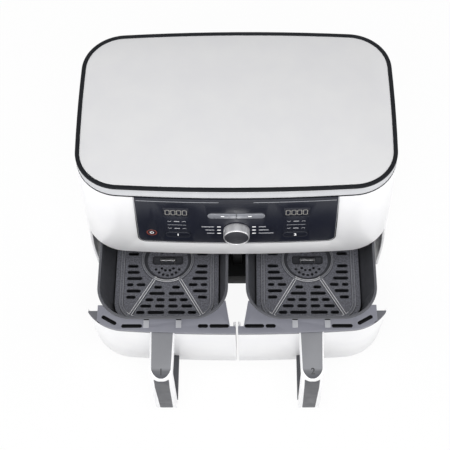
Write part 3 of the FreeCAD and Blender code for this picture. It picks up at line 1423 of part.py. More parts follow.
def make_plate(side, middle):
    """Crisper plate: slotted face with a raised border, four ridges and a round dish with a pull bar."""
    plate = new_body(f"{side}_crisper_plate")
    half = size.plate_width / 2
    deep = size.plate_depth / 2
    sketch = sketch_on(plate, f"{side}_plate_face", "XY_Plane")
    rectangle(sketch, -half, half, -deep, deep, size.plate_corner)
    pad(plate, sketch, size.plate_skirt, reverse=True)
    sketch = sketch_on(plate, f"{side}_plate_hollow", "XY_Plane", -size.plate_skirt)
    inner = half - size.plate_thick
    rectangle(sketch, -inner, inner, size.plate_thick - deep, deep - size.plate_thick,
              size.plate_corner - size.plate_thick)
    pocket(plate, sketch, size.plate_skirt - size.plate_thick, reverse=True)

    sketch = sketch_on(plate, f"{side}_plate_border", "XY_Plane")
    for inset in (size.border_inset, size.border_inset + size.border_width):
        rectangle(sketch, inset - half, half - inset, inset - deep, deep - inset, size.plate_corner - inset)
    pad(plate, sketch, size.border_height)
    sketch = sketch_on(plate, f"{side}_plate_ridges", "XY_Plane")
    inside = size.border_inset + size.border_width / 2
    start = size.ring_radius - size.border_width / 2
    rise = math.sqrt(1 - RIDGE_LEAN ** 2)
    for end in (-(deep + size.ring_y - inside), deep - size.ring_y - inside):
        way = -1 if end.value < 0 else 1
        for sign in (-1, 1):
            slot(sketch, (start * (RIDGE_LEAN * sign), size.ring_y + start * (way * rise)),
                 (end * (RIDGE_LEAN / rise * sign * way), size.ring_y + end), size.ridge_width / 2)
    pad(plate, sketch, size.border_height)
    dish = size.ring_radius - size.ring_width
    make_dish(plate, side, dish)
    make_slots(plate, side, half)

    sketch = sketch_on(plate, f"{side}_plate_legs", "XY_Plane", -size.plate_thick)
    for sign in (-1, 1):
        for row in (-1, 1):
            circle(sketch, size.leg_x * sign, size.leg_y * row, size.leg_radius)
    bumper_top = size.floor_height + size.seat_gap + size.bumper_height
    pad(plate, sketch, size.plate_top - size.plate_thick - bumper_top, reverse=True)
    place(plate, middle, size.plate_y, size.plate_top, pulled=True)
    keep(plate, f"{side}_crisper_plate")

    shift = frame_shift - size.drawer_pull
    bumpers = []
    for sign in (-1, 1):
        for row in (-1, 1):
            bumpers.append(cylinder(f"{side}_bumper_{len(bumpers) + 1}", middle + size.leg_x * sign,
                                    size.plate_y + size.leg_y * row + shift,
                                    size.floor_height + size.seat_gap, size.bumper_radius,
                                    size.bumper_height))
    keep(group(f"{side}_plate_bumpers", bumpers), f"{side}_plate_bumpers")

    low = size.plate_top - size.recess_drop
    high = size.plate_top + size.border_height
    reach = size.bar_length / 2
    near = size.plate_y + size.ring_y - size.bar_width / 2 + shift
    back = near + size.bar_width
    pieces = [box(f"{side}_bar_top", middle - reach, middle + reach, near, back, high - size.bar_thick, high)]
    for sign in (-1, 1):
        left = middle - reach if sign < 0 else middle + reach - size.bar_thick
        pieces.append(box(f"{side}_bar_leg_{len(pieces)}", left, left + size.bar_thick, near, back, low,
                          high))
    keep(fuse(f"{side}_plate_bar", pieces), f"{side}_plate_bar")


def make_dish(plate, side, dish):
    """Round dish in the plate: ring, sunk floor with small holes, and the recess under the pull bar."""
    sketch = sketch_on(plate, f"{side}_dish_floor", "XY_Plane")
    circle(sketch, 0, size.ring_y, dish)
    pocket(plate, sketch, size.dish_drop)
    sketch = sketch_on(plate, f"{side}_dish_ring", "XY_Plane")
    circle(sketch, 0, size.ring_y, size.ring_radius)
    circle(sketch, 0, size.ring_y, dish)
    pad(plate, sketch, size.ring_height)
    sketch = sketch_on(plate, f"{side}_recess_cup", "XY_Plane", -size.dish_drop)
    across = size.recess_width / 2 + size.plate_thick
    along = size.recess_depth / 2 + size.plate_thick
    rectangle(sketch, -across, across, size.ring_y - along, size.ring_y + along, along / 2)
    pad(plate, sketch, size.recess_drop + size.plate_thick - size.dish_drop, reverse=True)
    sketch = sketch_on(plate, f"{side}_recess", "XY_Plane")
    across = size.recess_width / 2
    along = size.recess_depth / 2
    rectangle(sketch, -across, across, size.ring_y - along, size.ring_y + along, along / 2)
    pocket(plate, sketch, size.recess_drop)
    sketch = sketch_on(plate, f"{side}_dish_holes", "XY_Plane")
    for across, along in DISH_HOLES:
        for sign in ((-1, 1) if across else (1,)):
            for way in (-1, 1):
                circle(sketch, size.ring_radius * (across * sign),
                       size.ring_y + size.ring_radius * (along * way), size.hole_radius)
    pocket(plate, sketch, size.plate_thick)


def make_slots(plate, side, half):
    """Rows of slots in the front, back and side fields of the plate."""
    radius = size.row_slot / 2
    fields = []
    for name, way, rows in (("front", -1, FRONT_ROWS), ("back", 1, FRONT_ROWS[:BACK_ROWS])):
        sketch = sketch_on(plate, f"{side}_{name}_slots", "XY_Plane")
        for index, row in enumerate(rows):
            along = size.ring_y + (size.ring_radius + size.row_start + size.row_pitch * index) * way
            slot_row(sketch, row, along, half, radius)
        fields.append(pocket(plate, sketch, size.plate_thick))
    for name, way in (("near", -1), ("rear", 1)):
        sketch = sketch_on(plate, f"{side}_{name}_side_slots", "XY_Plane")
        for index, row in enumerate(SIDE_ROWS, start=1):
            slot_row(sketch, row, size.ring_y + size.row_pitch * (index * way), half, radius)
        fields.append(pocket(plate, sketch, size.plate_thick))
    mirror(plate, f"{side}_slots_mirrored", fields, sketch)


def mirror(body, name, features, sketch):
    """Repeats features on the other side of a sketch's upright axis."""
    copy = body.newObject("PartDesign::Mirrored", name)
    copy.Originals = features
    copy.MirrorPlane = (sketch, ["V_Axis"])
    body.Tip = copy


def slot_row(sketch, row, along, half, radius):
    """Draws one row of slots on one side of the middle."""
    for inner, outer in row:
        slot(sketch, (half * inner + radius, along), (half * outer - radius, along), radius)


def make_back():
    """Vented cover over the air outlet, the cord inlet and the power board on the shelf."""
    cover = new_body("rear_cover")
    sketch = sketch_on(cover, "rear_face", "XZ_Plane", -(front + size.rear_proud))
    half = size.rear_width / 2
    rise = size.rear_height / 2
    rectangle(sketch, -half, half, size.rear_z - rise, size.rear_z + rise, size.rear_corner)
    pad(cover, sketch, size.casing_corner)
    sketch = sketch_on(cover, "rear_seat", "XY_Plane", size.casing_top)
    CASING.draw(sketch)
    pocket(cover, sketch, size.casing_top)
    sketch = sketch_on(cover, "rear_vents", "XZ_Plane", -front)
    for row in range(VENT_ROWS):
        up = size.rear_z + size.vent_pitch * (row - (VENT_ROWS - 1) / 2)
        slot(sketch, (size.vent_pitch / 2, up), (size.vent_length, up), size.vent_height / 2)
    vents = pocket(cover, sketch, size.casing_depth, both=True)
    mirror(cover, "rear_vents_mirrored", [vents], sketch)
    place(cover)
    keep(cover, "rear_cover")

    inlet = new_body("cord_inlet")
    sketch = sketch_on(inlet, "inlet_section", "XZ_Plane")
    length = size.rear_proud + size.casing_wall + size.casing_bow
    polygon(sketch, [(size.inlet_bore, 0), (size.inlet_radius, 0),
                     (size.inlet_radius, length - size.rear_proud / 2),
                     (size.inlet_radius - size.rear_proud / 3, length), (size.inlet_bore, length)])
    revolve(inlet, sketch)
    inlet.Placement.Rotation = Rotation(Vector(1, 0, 0), -90)
    place(inlet, size.inlet_x, front + size.rear_proud - length, size.inlet_z)
    keep(inlet, "cord_inlet")

    back = front - size.casing_wall - size.vent_pitch + frame_shift
    near = back - size.power_board_depth
    half = size.power_board_width / 2
    high = shelf_top + size.power_board_lift
    pieces = [box("power_board_sheet", -half, half, near, back, high - size.board_thick, high)]
    for sign in (-1, 1):
        for along in (near + size.screw_radius * 2, back - size.screw_radius * 2):
            pieces.append(cylinder(f"board_stud_{len(pieces)}", (half - size.screw_radius * 2) * sign, along,
                                   shelf_top, size.screw_radius, size.power_board_lift))
    keep(fuse("power_board", pieces), "power_board")


def export():
    """Checks every object and writes one file for each sub-part."""
    doc.recompute()
    for thing in doc.Objects:
        if "Invalid" in thing.State or "Error" in thing.State:
            raise RuntimeError(f"{thing.Name} did not recompute: {thing.State}")
    os.makedirs("parts", exist_ok=True)
    for thing in nodes:
        shape = thing.Shape
        if shape.isNull() or not shape.isValid():
            raise RuntimeError(f"{thing.Label} has no valid shape")
        shape.exportStep(f"parts/{thing.Label}.step")
        print(thing.Label, len(shape.Solids), round(shape.Volume), [round(v, 1) for v in (
            shape.BoundBox.XMin, shape.BoundBox.XMax, shape.BoundBox.YMin, shape.BoundBox.YMax,
            shape.BoundBox.ZMin, shape.BoundBox.ZMax)])


make_casing()
make_lid()
make_panel()
make_panel_pieces()
make_dial()
make_base()
make_inside()
for drawer, hand in DRAWER_SIDES:
    make_pan(drawer, size.pan_x * hand)
    make_front(drawer, hand)
    make_handle(drawer, hand)
    make_plate(drawer, size.pan_x * hand)
make_back()
export()
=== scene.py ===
"""Dress a dual-drawer air fryer for its studio picture.

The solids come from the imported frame. This script breaks their edges, gives each one its finish, and adds
the printed and lit marks that the solids don't carry. Meshes are in metres, in the frame of the solids. The
sizes that the pieces' classes hold are in millimetres.
"""

import json
import logging
import math
from dataclasses import dataclass, field
from enum import Enum
from typing import Any

import bmesh
import bpy
from bmesh.types import BMesh, BMFace, BMVert
from bpy.types import Material, Node, NodeSocket, NodeTree, Object, World
from mathutils import Matrix, Vector
from mathutils.bvhtree import BVHTree

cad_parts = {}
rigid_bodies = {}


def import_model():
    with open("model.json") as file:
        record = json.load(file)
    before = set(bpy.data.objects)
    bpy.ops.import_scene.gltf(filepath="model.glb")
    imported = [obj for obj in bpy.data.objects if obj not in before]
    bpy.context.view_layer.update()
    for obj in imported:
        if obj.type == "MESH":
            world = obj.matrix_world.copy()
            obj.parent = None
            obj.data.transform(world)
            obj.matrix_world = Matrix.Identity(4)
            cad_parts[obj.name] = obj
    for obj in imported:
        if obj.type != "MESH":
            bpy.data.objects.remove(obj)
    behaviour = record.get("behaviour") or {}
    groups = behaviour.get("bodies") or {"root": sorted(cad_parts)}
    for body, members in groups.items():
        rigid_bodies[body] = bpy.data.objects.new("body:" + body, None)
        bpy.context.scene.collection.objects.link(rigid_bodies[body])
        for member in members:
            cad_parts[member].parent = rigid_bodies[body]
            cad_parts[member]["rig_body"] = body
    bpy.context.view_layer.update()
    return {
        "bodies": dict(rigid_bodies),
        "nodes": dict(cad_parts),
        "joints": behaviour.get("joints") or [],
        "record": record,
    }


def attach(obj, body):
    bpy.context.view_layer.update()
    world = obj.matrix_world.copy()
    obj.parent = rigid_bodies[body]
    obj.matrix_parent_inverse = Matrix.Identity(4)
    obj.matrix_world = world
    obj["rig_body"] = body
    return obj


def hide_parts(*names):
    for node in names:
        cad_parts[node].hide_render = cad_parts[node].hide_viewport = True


LOG = logging.getLogger("air_fryer")
Pair = tuple[float, float]
Triple = tuple[float, float, float]
MM = 0.001
# Directions to the back and up.
BACK, UP = Vector((0.0, 1.0, 0.0)), Vector((0.0, 0.0, 1.0))
# Distance under which two corners count as one, and thickness of a print over its face, in millimetres.
WELD_MM, FILM_MM = 0.002, 0.06
# Turn under which two faces count as one, and least turn that makes an edge to break.
FLAT_TURN, EDGE_TURN = math.radians(0.1), math.radians(35.0)
# Turns above which an edge of a piece and of a print is shaded sharp.
SHARP_TURN, PRINT_TURN = math.radians(40.0), math.radians(30.0)
# Upright share of a normal: a wall has less than the first, a steep wall less than the second, and a level
# face more than the third.
WALL_RISE, STEEP_RISE, LEVEL_RISE = 0.5, 0.3, 0.99
# Lean to the front at which painted shade starts, and the further lean at which it is full.
PAINTED_SHADE_LEAN = (0.06, 0.34)
# Parts of a noise's range that the mottle and the handling marks are drawn from.
MOTTLE_SPAN, MARKS_SPAN = (0.35, 0.65), (0.3, 0.7)
# Material number of a piece's second finish.
SECOND_COAT = 1
# Rows of faces across a broken edge.
EDGE_ROWS = 2
# Distance in front of its face from which a print is laid down, in metres.
DROP = 1.0


def linear(code: str) -> tuple[float, float, float, float]:
    """Turn an sRGB hex value into linear colour.

    Args:
        code: Six hex digits after a hash sign.

    Returns:
        Red, green and blue as linear light, with full alpha.
    """
    parts = [int(code[place : place + 2], 16) / 255 for place in (1, 3, 5)]
    light = [part / 12.92 if part <= 0.04045 else ((part + 0.055) / 1.055) ** 2.4 for part in parts]
    return (*light, 1.0)


def add_node(tree: NodeTree, kind: str, inputs: dict[str | int, Any] | None = None, **settings: Any) -> Node:
    """Add a node to a tree, set it up and wire its inputs.

    Args:
        tree: Tree that gets the node.
        kind: Blender's name for the node's type.
        inputs: A value or an output socket for each input, by name or number.
        **settings: Properties of the node.

    Returns:
        The new node.
    """
    node = tree.nodes.new(kind)
    for name, value in settings.items():
        setattr(node, name, value)
    for name, value in (inputs or {}).items():
        if isinstance(value, NodeSocket):
            tree.links.new(value, node.inputs[name])
        else:
            node.inputs[name].default_value = value
    return node


def fresh_tree(owner: Material | World) -> NodeTree:
    """Empty the node tree of a material or a world.

    Args:
        owner: Material or world.

    Returns:
        Its tree, with no node in it.
    """
    owner.use_nodes = True
    owner.node_tree.nodes.clear()
    return owner.node_tree


def per_metre(pitch_mm: float) -> float:
    """Return how many pattern cells of a pitch in millimetres fit in one metre."""
    return 1.0 / (pitch_mm * MM)


def ramp(value: float, start: float, span: float) -> float:
    """Return how far a value has come along a span, from nought to one."""
    return min(max((value - start) / span, 0.0), 1.0)


def cut_across(shape: BMesh, along: Vector, place: float, clear_beyond: bool = False) -> None:
    """Cut a shape with a plane.

    Args:
        shape: Shape to cut.
        along: Direction that the plane stands across.
        place: Place of the plane along that direction, in metres.
        clear_beyond: Whether what lies beyond the plane goes.
    """
    bmesh.ops.bisect_plane(
        shape,
        geom=[*shape.verts, *shape.edges, *shape.faces],
        plane_co=along * place,
        plane_no=along,
        clear_outer=clear_beyond,
    )


class Relief(Enum):
    """How a surface's fine relief runs."""

    GRAIN = (1.0, 1.0, 1.0)
    BRUSH = (1.0, 0.04, 1.0)


@dataclass(frozen=True)
class Finish:
    """A surface, by what it is made of and how it was made.

    Attributes:
        name: Common name of the material and its make.
        colour: Main colour in sRGB.
        shade: Second colour, which a slow mottle mixes in.
        worn: Colour along broken edges.
        roughness: Least and most roughness over the surface.
        pitch_mm: Size of the relief's cells.
        depth_mm: Height of the relief.
        mottle_mm: Size of the mottle's patches.
        relief: Direction of the relief.
        metallic: One for bare metal.
        ior: Index of refraction.
        shine: Strength of the mirror part, half for an ordinary gloss.
        glow: Strength of light that the surface gives off.
        front: Colour of painted shade, if it has one, mixed in where the layer of that name asks for it.
    """

    name: str
    colour: str
    shade: str
    worn: str
    roughness: Pair
    pitch_mm: float
    depth_mm: float
    mottle_mm: float = 40.0
    relief: Relief = Relief.GRAIN
    metallic: float = 0.0
    ior: float = 1.5
    shine: float = 0.5
    glow: float = 0.0
    front: str = ""

    def material(self) -> Material:
        """Make the finish's material on first use.

        Returns:
            The material.
        """
        known = bpy.data.materials.get(self.name)
        if known:
            return known
        made = bpy.data.materials.new(self.name)
        tree = fresh_tree(made)
        place = add_node(tree, "ShaderNodeTexCoord").outputs["Object"]
        colour = self.colouring(tree, place)
        shader = add_node(
            tree,
            "ShaderNodeBsdfPrincipled",
            {
                "Base Color": colour,
                "Roughness": self.dulling(tree, place),
                "Normal": self.surface(tree, place),
                "Metallic": self.metallic,
                "IOR": self.ior,
                "Specular IOR Level": self.shine,
            },
        )
        if self.glow:
            tree.links.new(colour, shader.inputs["Emission Color"])
            shader.inputs["Emission Strength"].default_value = self.glow
        add_node(tree, "ShaderNodeOutputMaterial", {"Surface": shader.outputs["BSDF"]})
        return made

    def colouring(self, tree: NodeTree, place: NodeSocket) -> NodeSocket:
        """Mix the main colour with its slow mottle, its worn edges and its painted shade.

        Args:
            tree: Tree of the material.
            place: Socket with the surface's place.

        Returns:
            The socket with the surface's colour.
        """
        patch = add_node(
            tree, "ShaderNodeTexNoise", {"Vector": place, "Scale": per_metre(self.mottle_mm), "Detail": 4.0}
        )
        spread = add_node(
            tree,
            "ShaderNodeMapRange",
            {"Value": patch.outputs["Fac"], "From Min": MOTTLE_SPAN[0], "From Max": MOTTLE_SPAN[1]},
        )
        layers = [(spread.outputs["Result"], self.shade)]
        for name, coat in (("edge", self.worn), ("front", self.front)):
            if coat:
                layer = add_node(tree, "ShaderNodeAttribute", attribute_name=name)
                layers.append((layer.outputs["Fac"], coat))
        colour: Any = linear(self.colour)
        for share, coat in layers:
            inputs = {0: share, 6: colour, 7: linear(coat)}
            colour = add_node(tree, "ShaderNodeMix", inputs, data_type="RGBA").outputs[2]
        return colour

    def dulling(self, tree: NodeTree, place: NodeSocket) -> NodeSocket:
        """Spread the roughness over its range by handling marks.

        Args:
            tree: Tree of the material.
            place: Socket with the surface's place.

        Returns:
            The socket with the surface's roughness.
        """
        marks = add_node(
            tree,
            "ShaderNodeTexNoise",
            {"Vector": place, "Scale": per_metre(self.mottle_mm / 3), "Detail": 6.0},
        )
        spread = add_node(
            tree,
            "ShaderNodeMapRange",
            {
                "Value": marks.outputs["Fac"],
                "From Min": MARKS_SPAN[0],
                "From Max": MARKS_SPAN[1],
                "To Min": self.roughness[0],
                "To Max": self.roughness[1],
            },
        )
        return spread.outputs["Result"]

    def surface(self, tree: NodeTree, place: NodeSocket) -> NodeSocket:
        """Raise the fine relief.

        Args:
            tree: Tree of the material.
            place: Socket with the surface's place.

        Returns:
            The socket with the bumped normal.
        """
        run = add_node(tree, "ShaderNodeMapping", {"Vector": place, "Scale": self.relief.value})
        cells = add_node(
            tree,
            "ShaderNodeTexNoise",
            {"Vector": run.outputs["Vector"], "Scale": per_metre(self.pitch_mm), "Detail": 2.0},
        )
        bump = add_node(
            tree,
            "ShaderNodeBump",
            {"Height": cells.outputs["Fac"], "Strength": 1.0, "Distance": self.depth_mm * MM},
        )
        return bump.outputs["Normal"]


# Moulded, polished ABS: clean white with a soft gloss.
WHITE_ABS = Finish("moulded_white_abs", "#F6F6F7", "#F3F3F5", "#F8F8F9", (0.28, 0.32), 2.4, 0.002, ior=1.53)
# Painted lid sheet: pale silver-grey with a fine orange peel.
LID_PAINT = Finish("painted_lid_sheet", "#D7D7D8", "#D4D4D6", "#E2E2E3", (0.4, 0.46), 2.2, 0.003)
# Extruded rubber: black with a dull sheen.
RIM_RUBBER = Finish(
    "extruded_black_rubber", "#14161A", "#101216", "#1C1E23", (0.45, 0.58), 0.9, 0.008, shine=0.15
)
# Chromed ABS: a bright band, softened by a fine haze.
CHROME = Finish("chromed_abs", "#DDDEE1", "#D5D6DA", "#E6E6E8", (0.2, 0.26), 30.0, 0.002, metallic=1.0)
# Chrome bezel round the panel: bright metal with painted shade that deepens towards its foot.
BEZEL_CHROME = Finish(
    "bezel_chrome_painted_shade", "#D8D8DB", "#D0D0D3", "#DEDEE0", (0.38, 0.44), 30.0, 0.002, mottle_mm=60.0,
    metallic=1.0, front="#17181C",
)
# Inner lip of the bezel: plain silver-grey, not metal, a painted highlight that stands in for the chrome
# lip's bright line.
LIP_HIGHLIGHT = Finish(
    "bezel_lip_painted_highlight", "#C8C9CD", "#C0C1C5", "#C8C9CD", (0.5, 0.58), 30.0, 0.002, shine=0.2
)
# Satin chrome on the dial: light metal under a fine frost.
SATIN_CHROME = Finish(
    "satin_chromed_abs", "#F0F0F1", "#E8E8EA", "#F4F4F5", (0.42, 0.5), 1.0, 0.003, mottle_mm=25.0,
    metallic=1.0,
)
# Back-painted acrylic: deep blue-black with a soft gloss.
PANEL_ACRYLIC = Finish("back_painted_acrylic", "#1A1D2A", "#181B27", "#22252F", (0.34, 0.38), 40.0, 0.002)
# Smoked acrylic over the displays: a shade paler than the panel.
LENS_ACRYLIC = Finish("smoked_acrylic", "#1E202B", "#1A1C27", "#1E202B", (0.34, 0.38), 40.0, 0.002)
# Moulded key caps: black, matched to the panel.
KEY_ABS = Finish("moulded_key_abs", "#191C28", "#171A25", "#1D202B", (0.34, 0.38), 1.2, 0.002)
# Grey key caps of the pair pill.
PAIR_KEY_ABS = Finish("moulded_grey_key_abs", "#8D8F96", "#85878E", "#9A9CA2", (0.2, 0.3), 1.2, 0.004)
# Satin dial face: dark grey with a fine grain.
DIAL_FACE = Finish("satin_dark_polycarbonate", "#3A3B40", "#333439", "#56575C", (0.3, 0.4), 0.9, 0.008)
# Moulded polypropylene: matt black with a spark grain, drawn coarser than the real 0.2 mm so that it shows.
DARK_PP = Finish(
    "moulded_black_polypropylene", "#131416", "#0F1012", "#1E1F22", (0.5, 0.65), 1.0, 0.03, shine=0.3
)
# Rubber feet: dull and dusty.
FOOT_RUBBER = Finish("moulded_foot_rubber", "#1C1C1D", "#242425", "#333334", (0.7, 0.85), 0.8, 0.03)
# Glass-filled nylon of the ledge: mid grey, faintly cloudy from the mould flow.
LEDGE_NYLON = Finish("moulded_grey_nylon", "#797A83", "#74757E", "#8E8F97", (0.36, 0.48), 1.1, 0.012)
# The ledge's outer flap: the same nylon, darker as painted shade.
FLAP_SHADE_NYLON = Finish("ledge_flap_painted_shade", "#5D5E63", "#57585D", "#6B6C71", (0.4, 0.52), 1.1, 0.012)
# Bead-blasted stainless steel of the pull bar: bright and soft.
BAR_STEEL = Finish(
    "blasted_stainless_steel", "#E4E4E6", "#DADADD", "#ECECEE", (0.42, 0.52), 0.6, 0.004, mottle_mm=9.0,
    metallic=1.0,
)
# Frosted clips on the ledge: pale grey moulding.
CLIP_ABS = Finish("moulded_pale_grey_abs", "#A6A7AC", "#9D9EA3", "#B9BABE", (0.3, 0.42), 1.0, 0.006)
# Soft-touch lacquer on the handles: even grey, darker as painted shade where faces look to the front, down
# the thumb end and the front of the grip.
INLAY_LACQUER = Finish(
    "soft_touch_grey_lacquer_painted_shade", "#8A8B8F", "#838488", "#949599", (0.45, 0.58), 1.0, 0.01, front="#4C4D52"
)
# Back of the grip: dark grey moulding.
GRIP_PP = Finish(
    "moulded_grey_polypropylene", "#4C4D51", "#46474B", "#57585C", (0.5, 0.62), 1.0, 0.02, shine=0.3
)
# Painted shade on the floor of the ledge's grooves, in black; the clip catches take the same black.
BLACK_NYLON_GROOVE_SHADE = Finish(
    "black_nylon_and_groove_painted_shade", "#0E0E10", "#0B0B0D", "#18181B", (0.6, 0.75), 1.1, 0.012, shine=0.2
)
# Sprayed non-stick coating on the pan: dark grey with a slight orange peel.
PAN_COAT = Finish(
    "sprayed_black_nonstick", "#434448", "#3E3F43", "#505156", (0.3, 0.4), 1.3, 0.009, mottle_mm=18.0
)
# The same coating on the pan's rim, in a paler satin.
RIM_COAT = Finish(
    "paler_rim_nonstick", "#4E4F54", "#48494E", "#5C5D62", (0.34, 0.46), 1.3, 0.012, mottle_mm=12.0
)
# Ceramic-filled non-stick on the plate: mid grey with dark flecks, drawn coarser than the real 0.5 mm.
PLATE_COAT = Finish(
    "sprayed_grey_nonstick", "#868790", "#5E5F65", "#6C6D73", (0.34, 0.44), 1.3, 0.03, mottle_mm=1.8
)
# Painted highlight along the ridges' and the ring's edges, where they catch the light.
RIDGE_HIGHLIGHT = Finish(
    "ridge_painted_highlight", "#EDEDEF", "#DCDCDF", "#EDEDEF", (0.3, 0.4), 1.3, 0.008, mottle_mm=9.0
)
# Dimmer painted highlight along the edges of the border and of the ring's sides.
BORDER_HIGHLIGHT = Finish(
    "border_painted_highlight", "#9C9DA2", "#919297", "#9C9DA2", (0.3, 0.42), 1.3, 0.008, mottle_mm=9.0
)
# Painted shade in the slots and hollow corners of the plate.
SLOT_SHADE = Finish("slot_painted_shade", "#303134", "#28292C", "#303134", (0.5, 0.62), 1.3, 0.01, shine=0.25)
# Painted shade in the recess under the pull bar and round the edge of the dish.
RECESS_SHADE = Finish(
    "recess_painted_shade", "#4A4B50", "#434449", "#4A4B50", (0.42, 0.52), 1.3, 0.01, shine=0.35
)
# Silicone bumpers: matt black.
SILICONE = Finish("moulded_black_silicone", "#202022", "#1A1A1C", "#303033", (0.55, 0.7), 0.9, 0.015)
# Galvanised sheet: grey metal with a broad spangle.
SHEET_STEEL = Finish(
    "galvanised_steel_sheet", "#8F9094", "#7B7C80", "#A6A7AA", (0.3, 0.5), 4.0, 0.01, mottle_mm=12.0,
    metallic=1.0,
)
# Heater sheath: nickel alloy browned by heat.
HEATER_ALLOY = Finish(
    "heat_browned_nickel_alloy", "#4C4640", "#3A3531", "#6B635A", (0.4, 0.55), 1.0, 0.01, mottle_mm=9.0,
    metallic=1.0,
)
# Stamped aluminium fan.
FAN_ALUMINIUM = Finish(
    "stamped_aluminium", "#B9BABC", "#ABACAF", "#CFCFD1", (0.28, 0.4), 0.7, 0.006, relief=Relief.BRUSH,
    metallic=1.0,
)
# Motor cans: zinc-plated steel.
MOTOR_ZINC = Finish(
    "zinc_plated_steel", "#8C8D92", "#7E7F84", "#A2A3A7", (0.3, 0.45), 1.5, 0.006, metallic=1.0
)
# Circuit boards: green solder mask over copper tracks.
BOARD_MASK = Finish(
    "green_solder_mask", "#1F5B3A", "#174A2F", "#6B8F6F", (0.25, 0.4), 2.5, 0.02, mottle_mm=6.0
)
# Encoder body: grey glass-filled nylon.
ENCODER_NYLON = Finish("moulded_encoder_nylon", "#8B8B8C", "#7F7F80", "#A0A0A1", (0.5, 0.6), 0.9, 0.015)
# Plated screws.
SCREW_STEEL = Finish(
    "plated_screw_steel", "#A8A8AB", "#99999C", "#C0C0C2", (0.25, 0.4), 0.8, 0.006, metallic=1.0
)
# Screen-printed ink: flat pale grey.
PALE_INK = Finish("screen_printed_pale_ink", "#C9CACF", "#BFC0C5", "#C9CACF", (0.45, 0.6), 0.6, 0.003)
# Thin silver foil lines on the panel.
SILVER_INK = Finish("screen_printed_silver_ink", "#B0B2B8", "#A6A8AE", "#B0B2B8", (0.3, 0.42), 0.6, 0.003)
# Lit display segments, drawn on the lens.
LED_WHITE = Finish("lit_display_segment", "#8E8C88", "#868480", "#8E8C88", (0.4, 0.5), 0.8, 0.002, glow=0.25)
# Lit marks and numbers: plain white, a little brighter than print.
LAMP_WHITE = Finish("lit_white_mark", "#F2F2F2", "#ECECEC", "#F2F2F2", (0.4, 0.5), 0.8, 0.002, glow=0.7)
# Faint ring round the zone keys: dark grey ink.
FAINT_INK = Finish("screen_printed_faint_ink", "#3A3C44", "#34363E", "#3A3C44", (0.4, 0.5), 0.6, 0.003)
# Copper-red print round the power key.
RED_INK = Finish("screen_printed_red_ink", "#A8503F", "#984536", "#A8503F", (0.4, 0.5), 0.6, 0.003)
# Dark print on the handles.
DARK_INK = Finish("screen_printed_dark_ink", "#26272A", "#222326", "#26272A", (0.45, 0.6), 0.6, 0.003)


class Facing(Enum):
    """Way that a printed face looks, as the way into it and the turn that lays a flat drawing on it."""

    FRONT = (BACK, Matrix.Rotation(math.pi / 2, 4, "X"))
    TOP = (Vector((0.0, 0.0, -1.0)), Matrix.Identity(4))


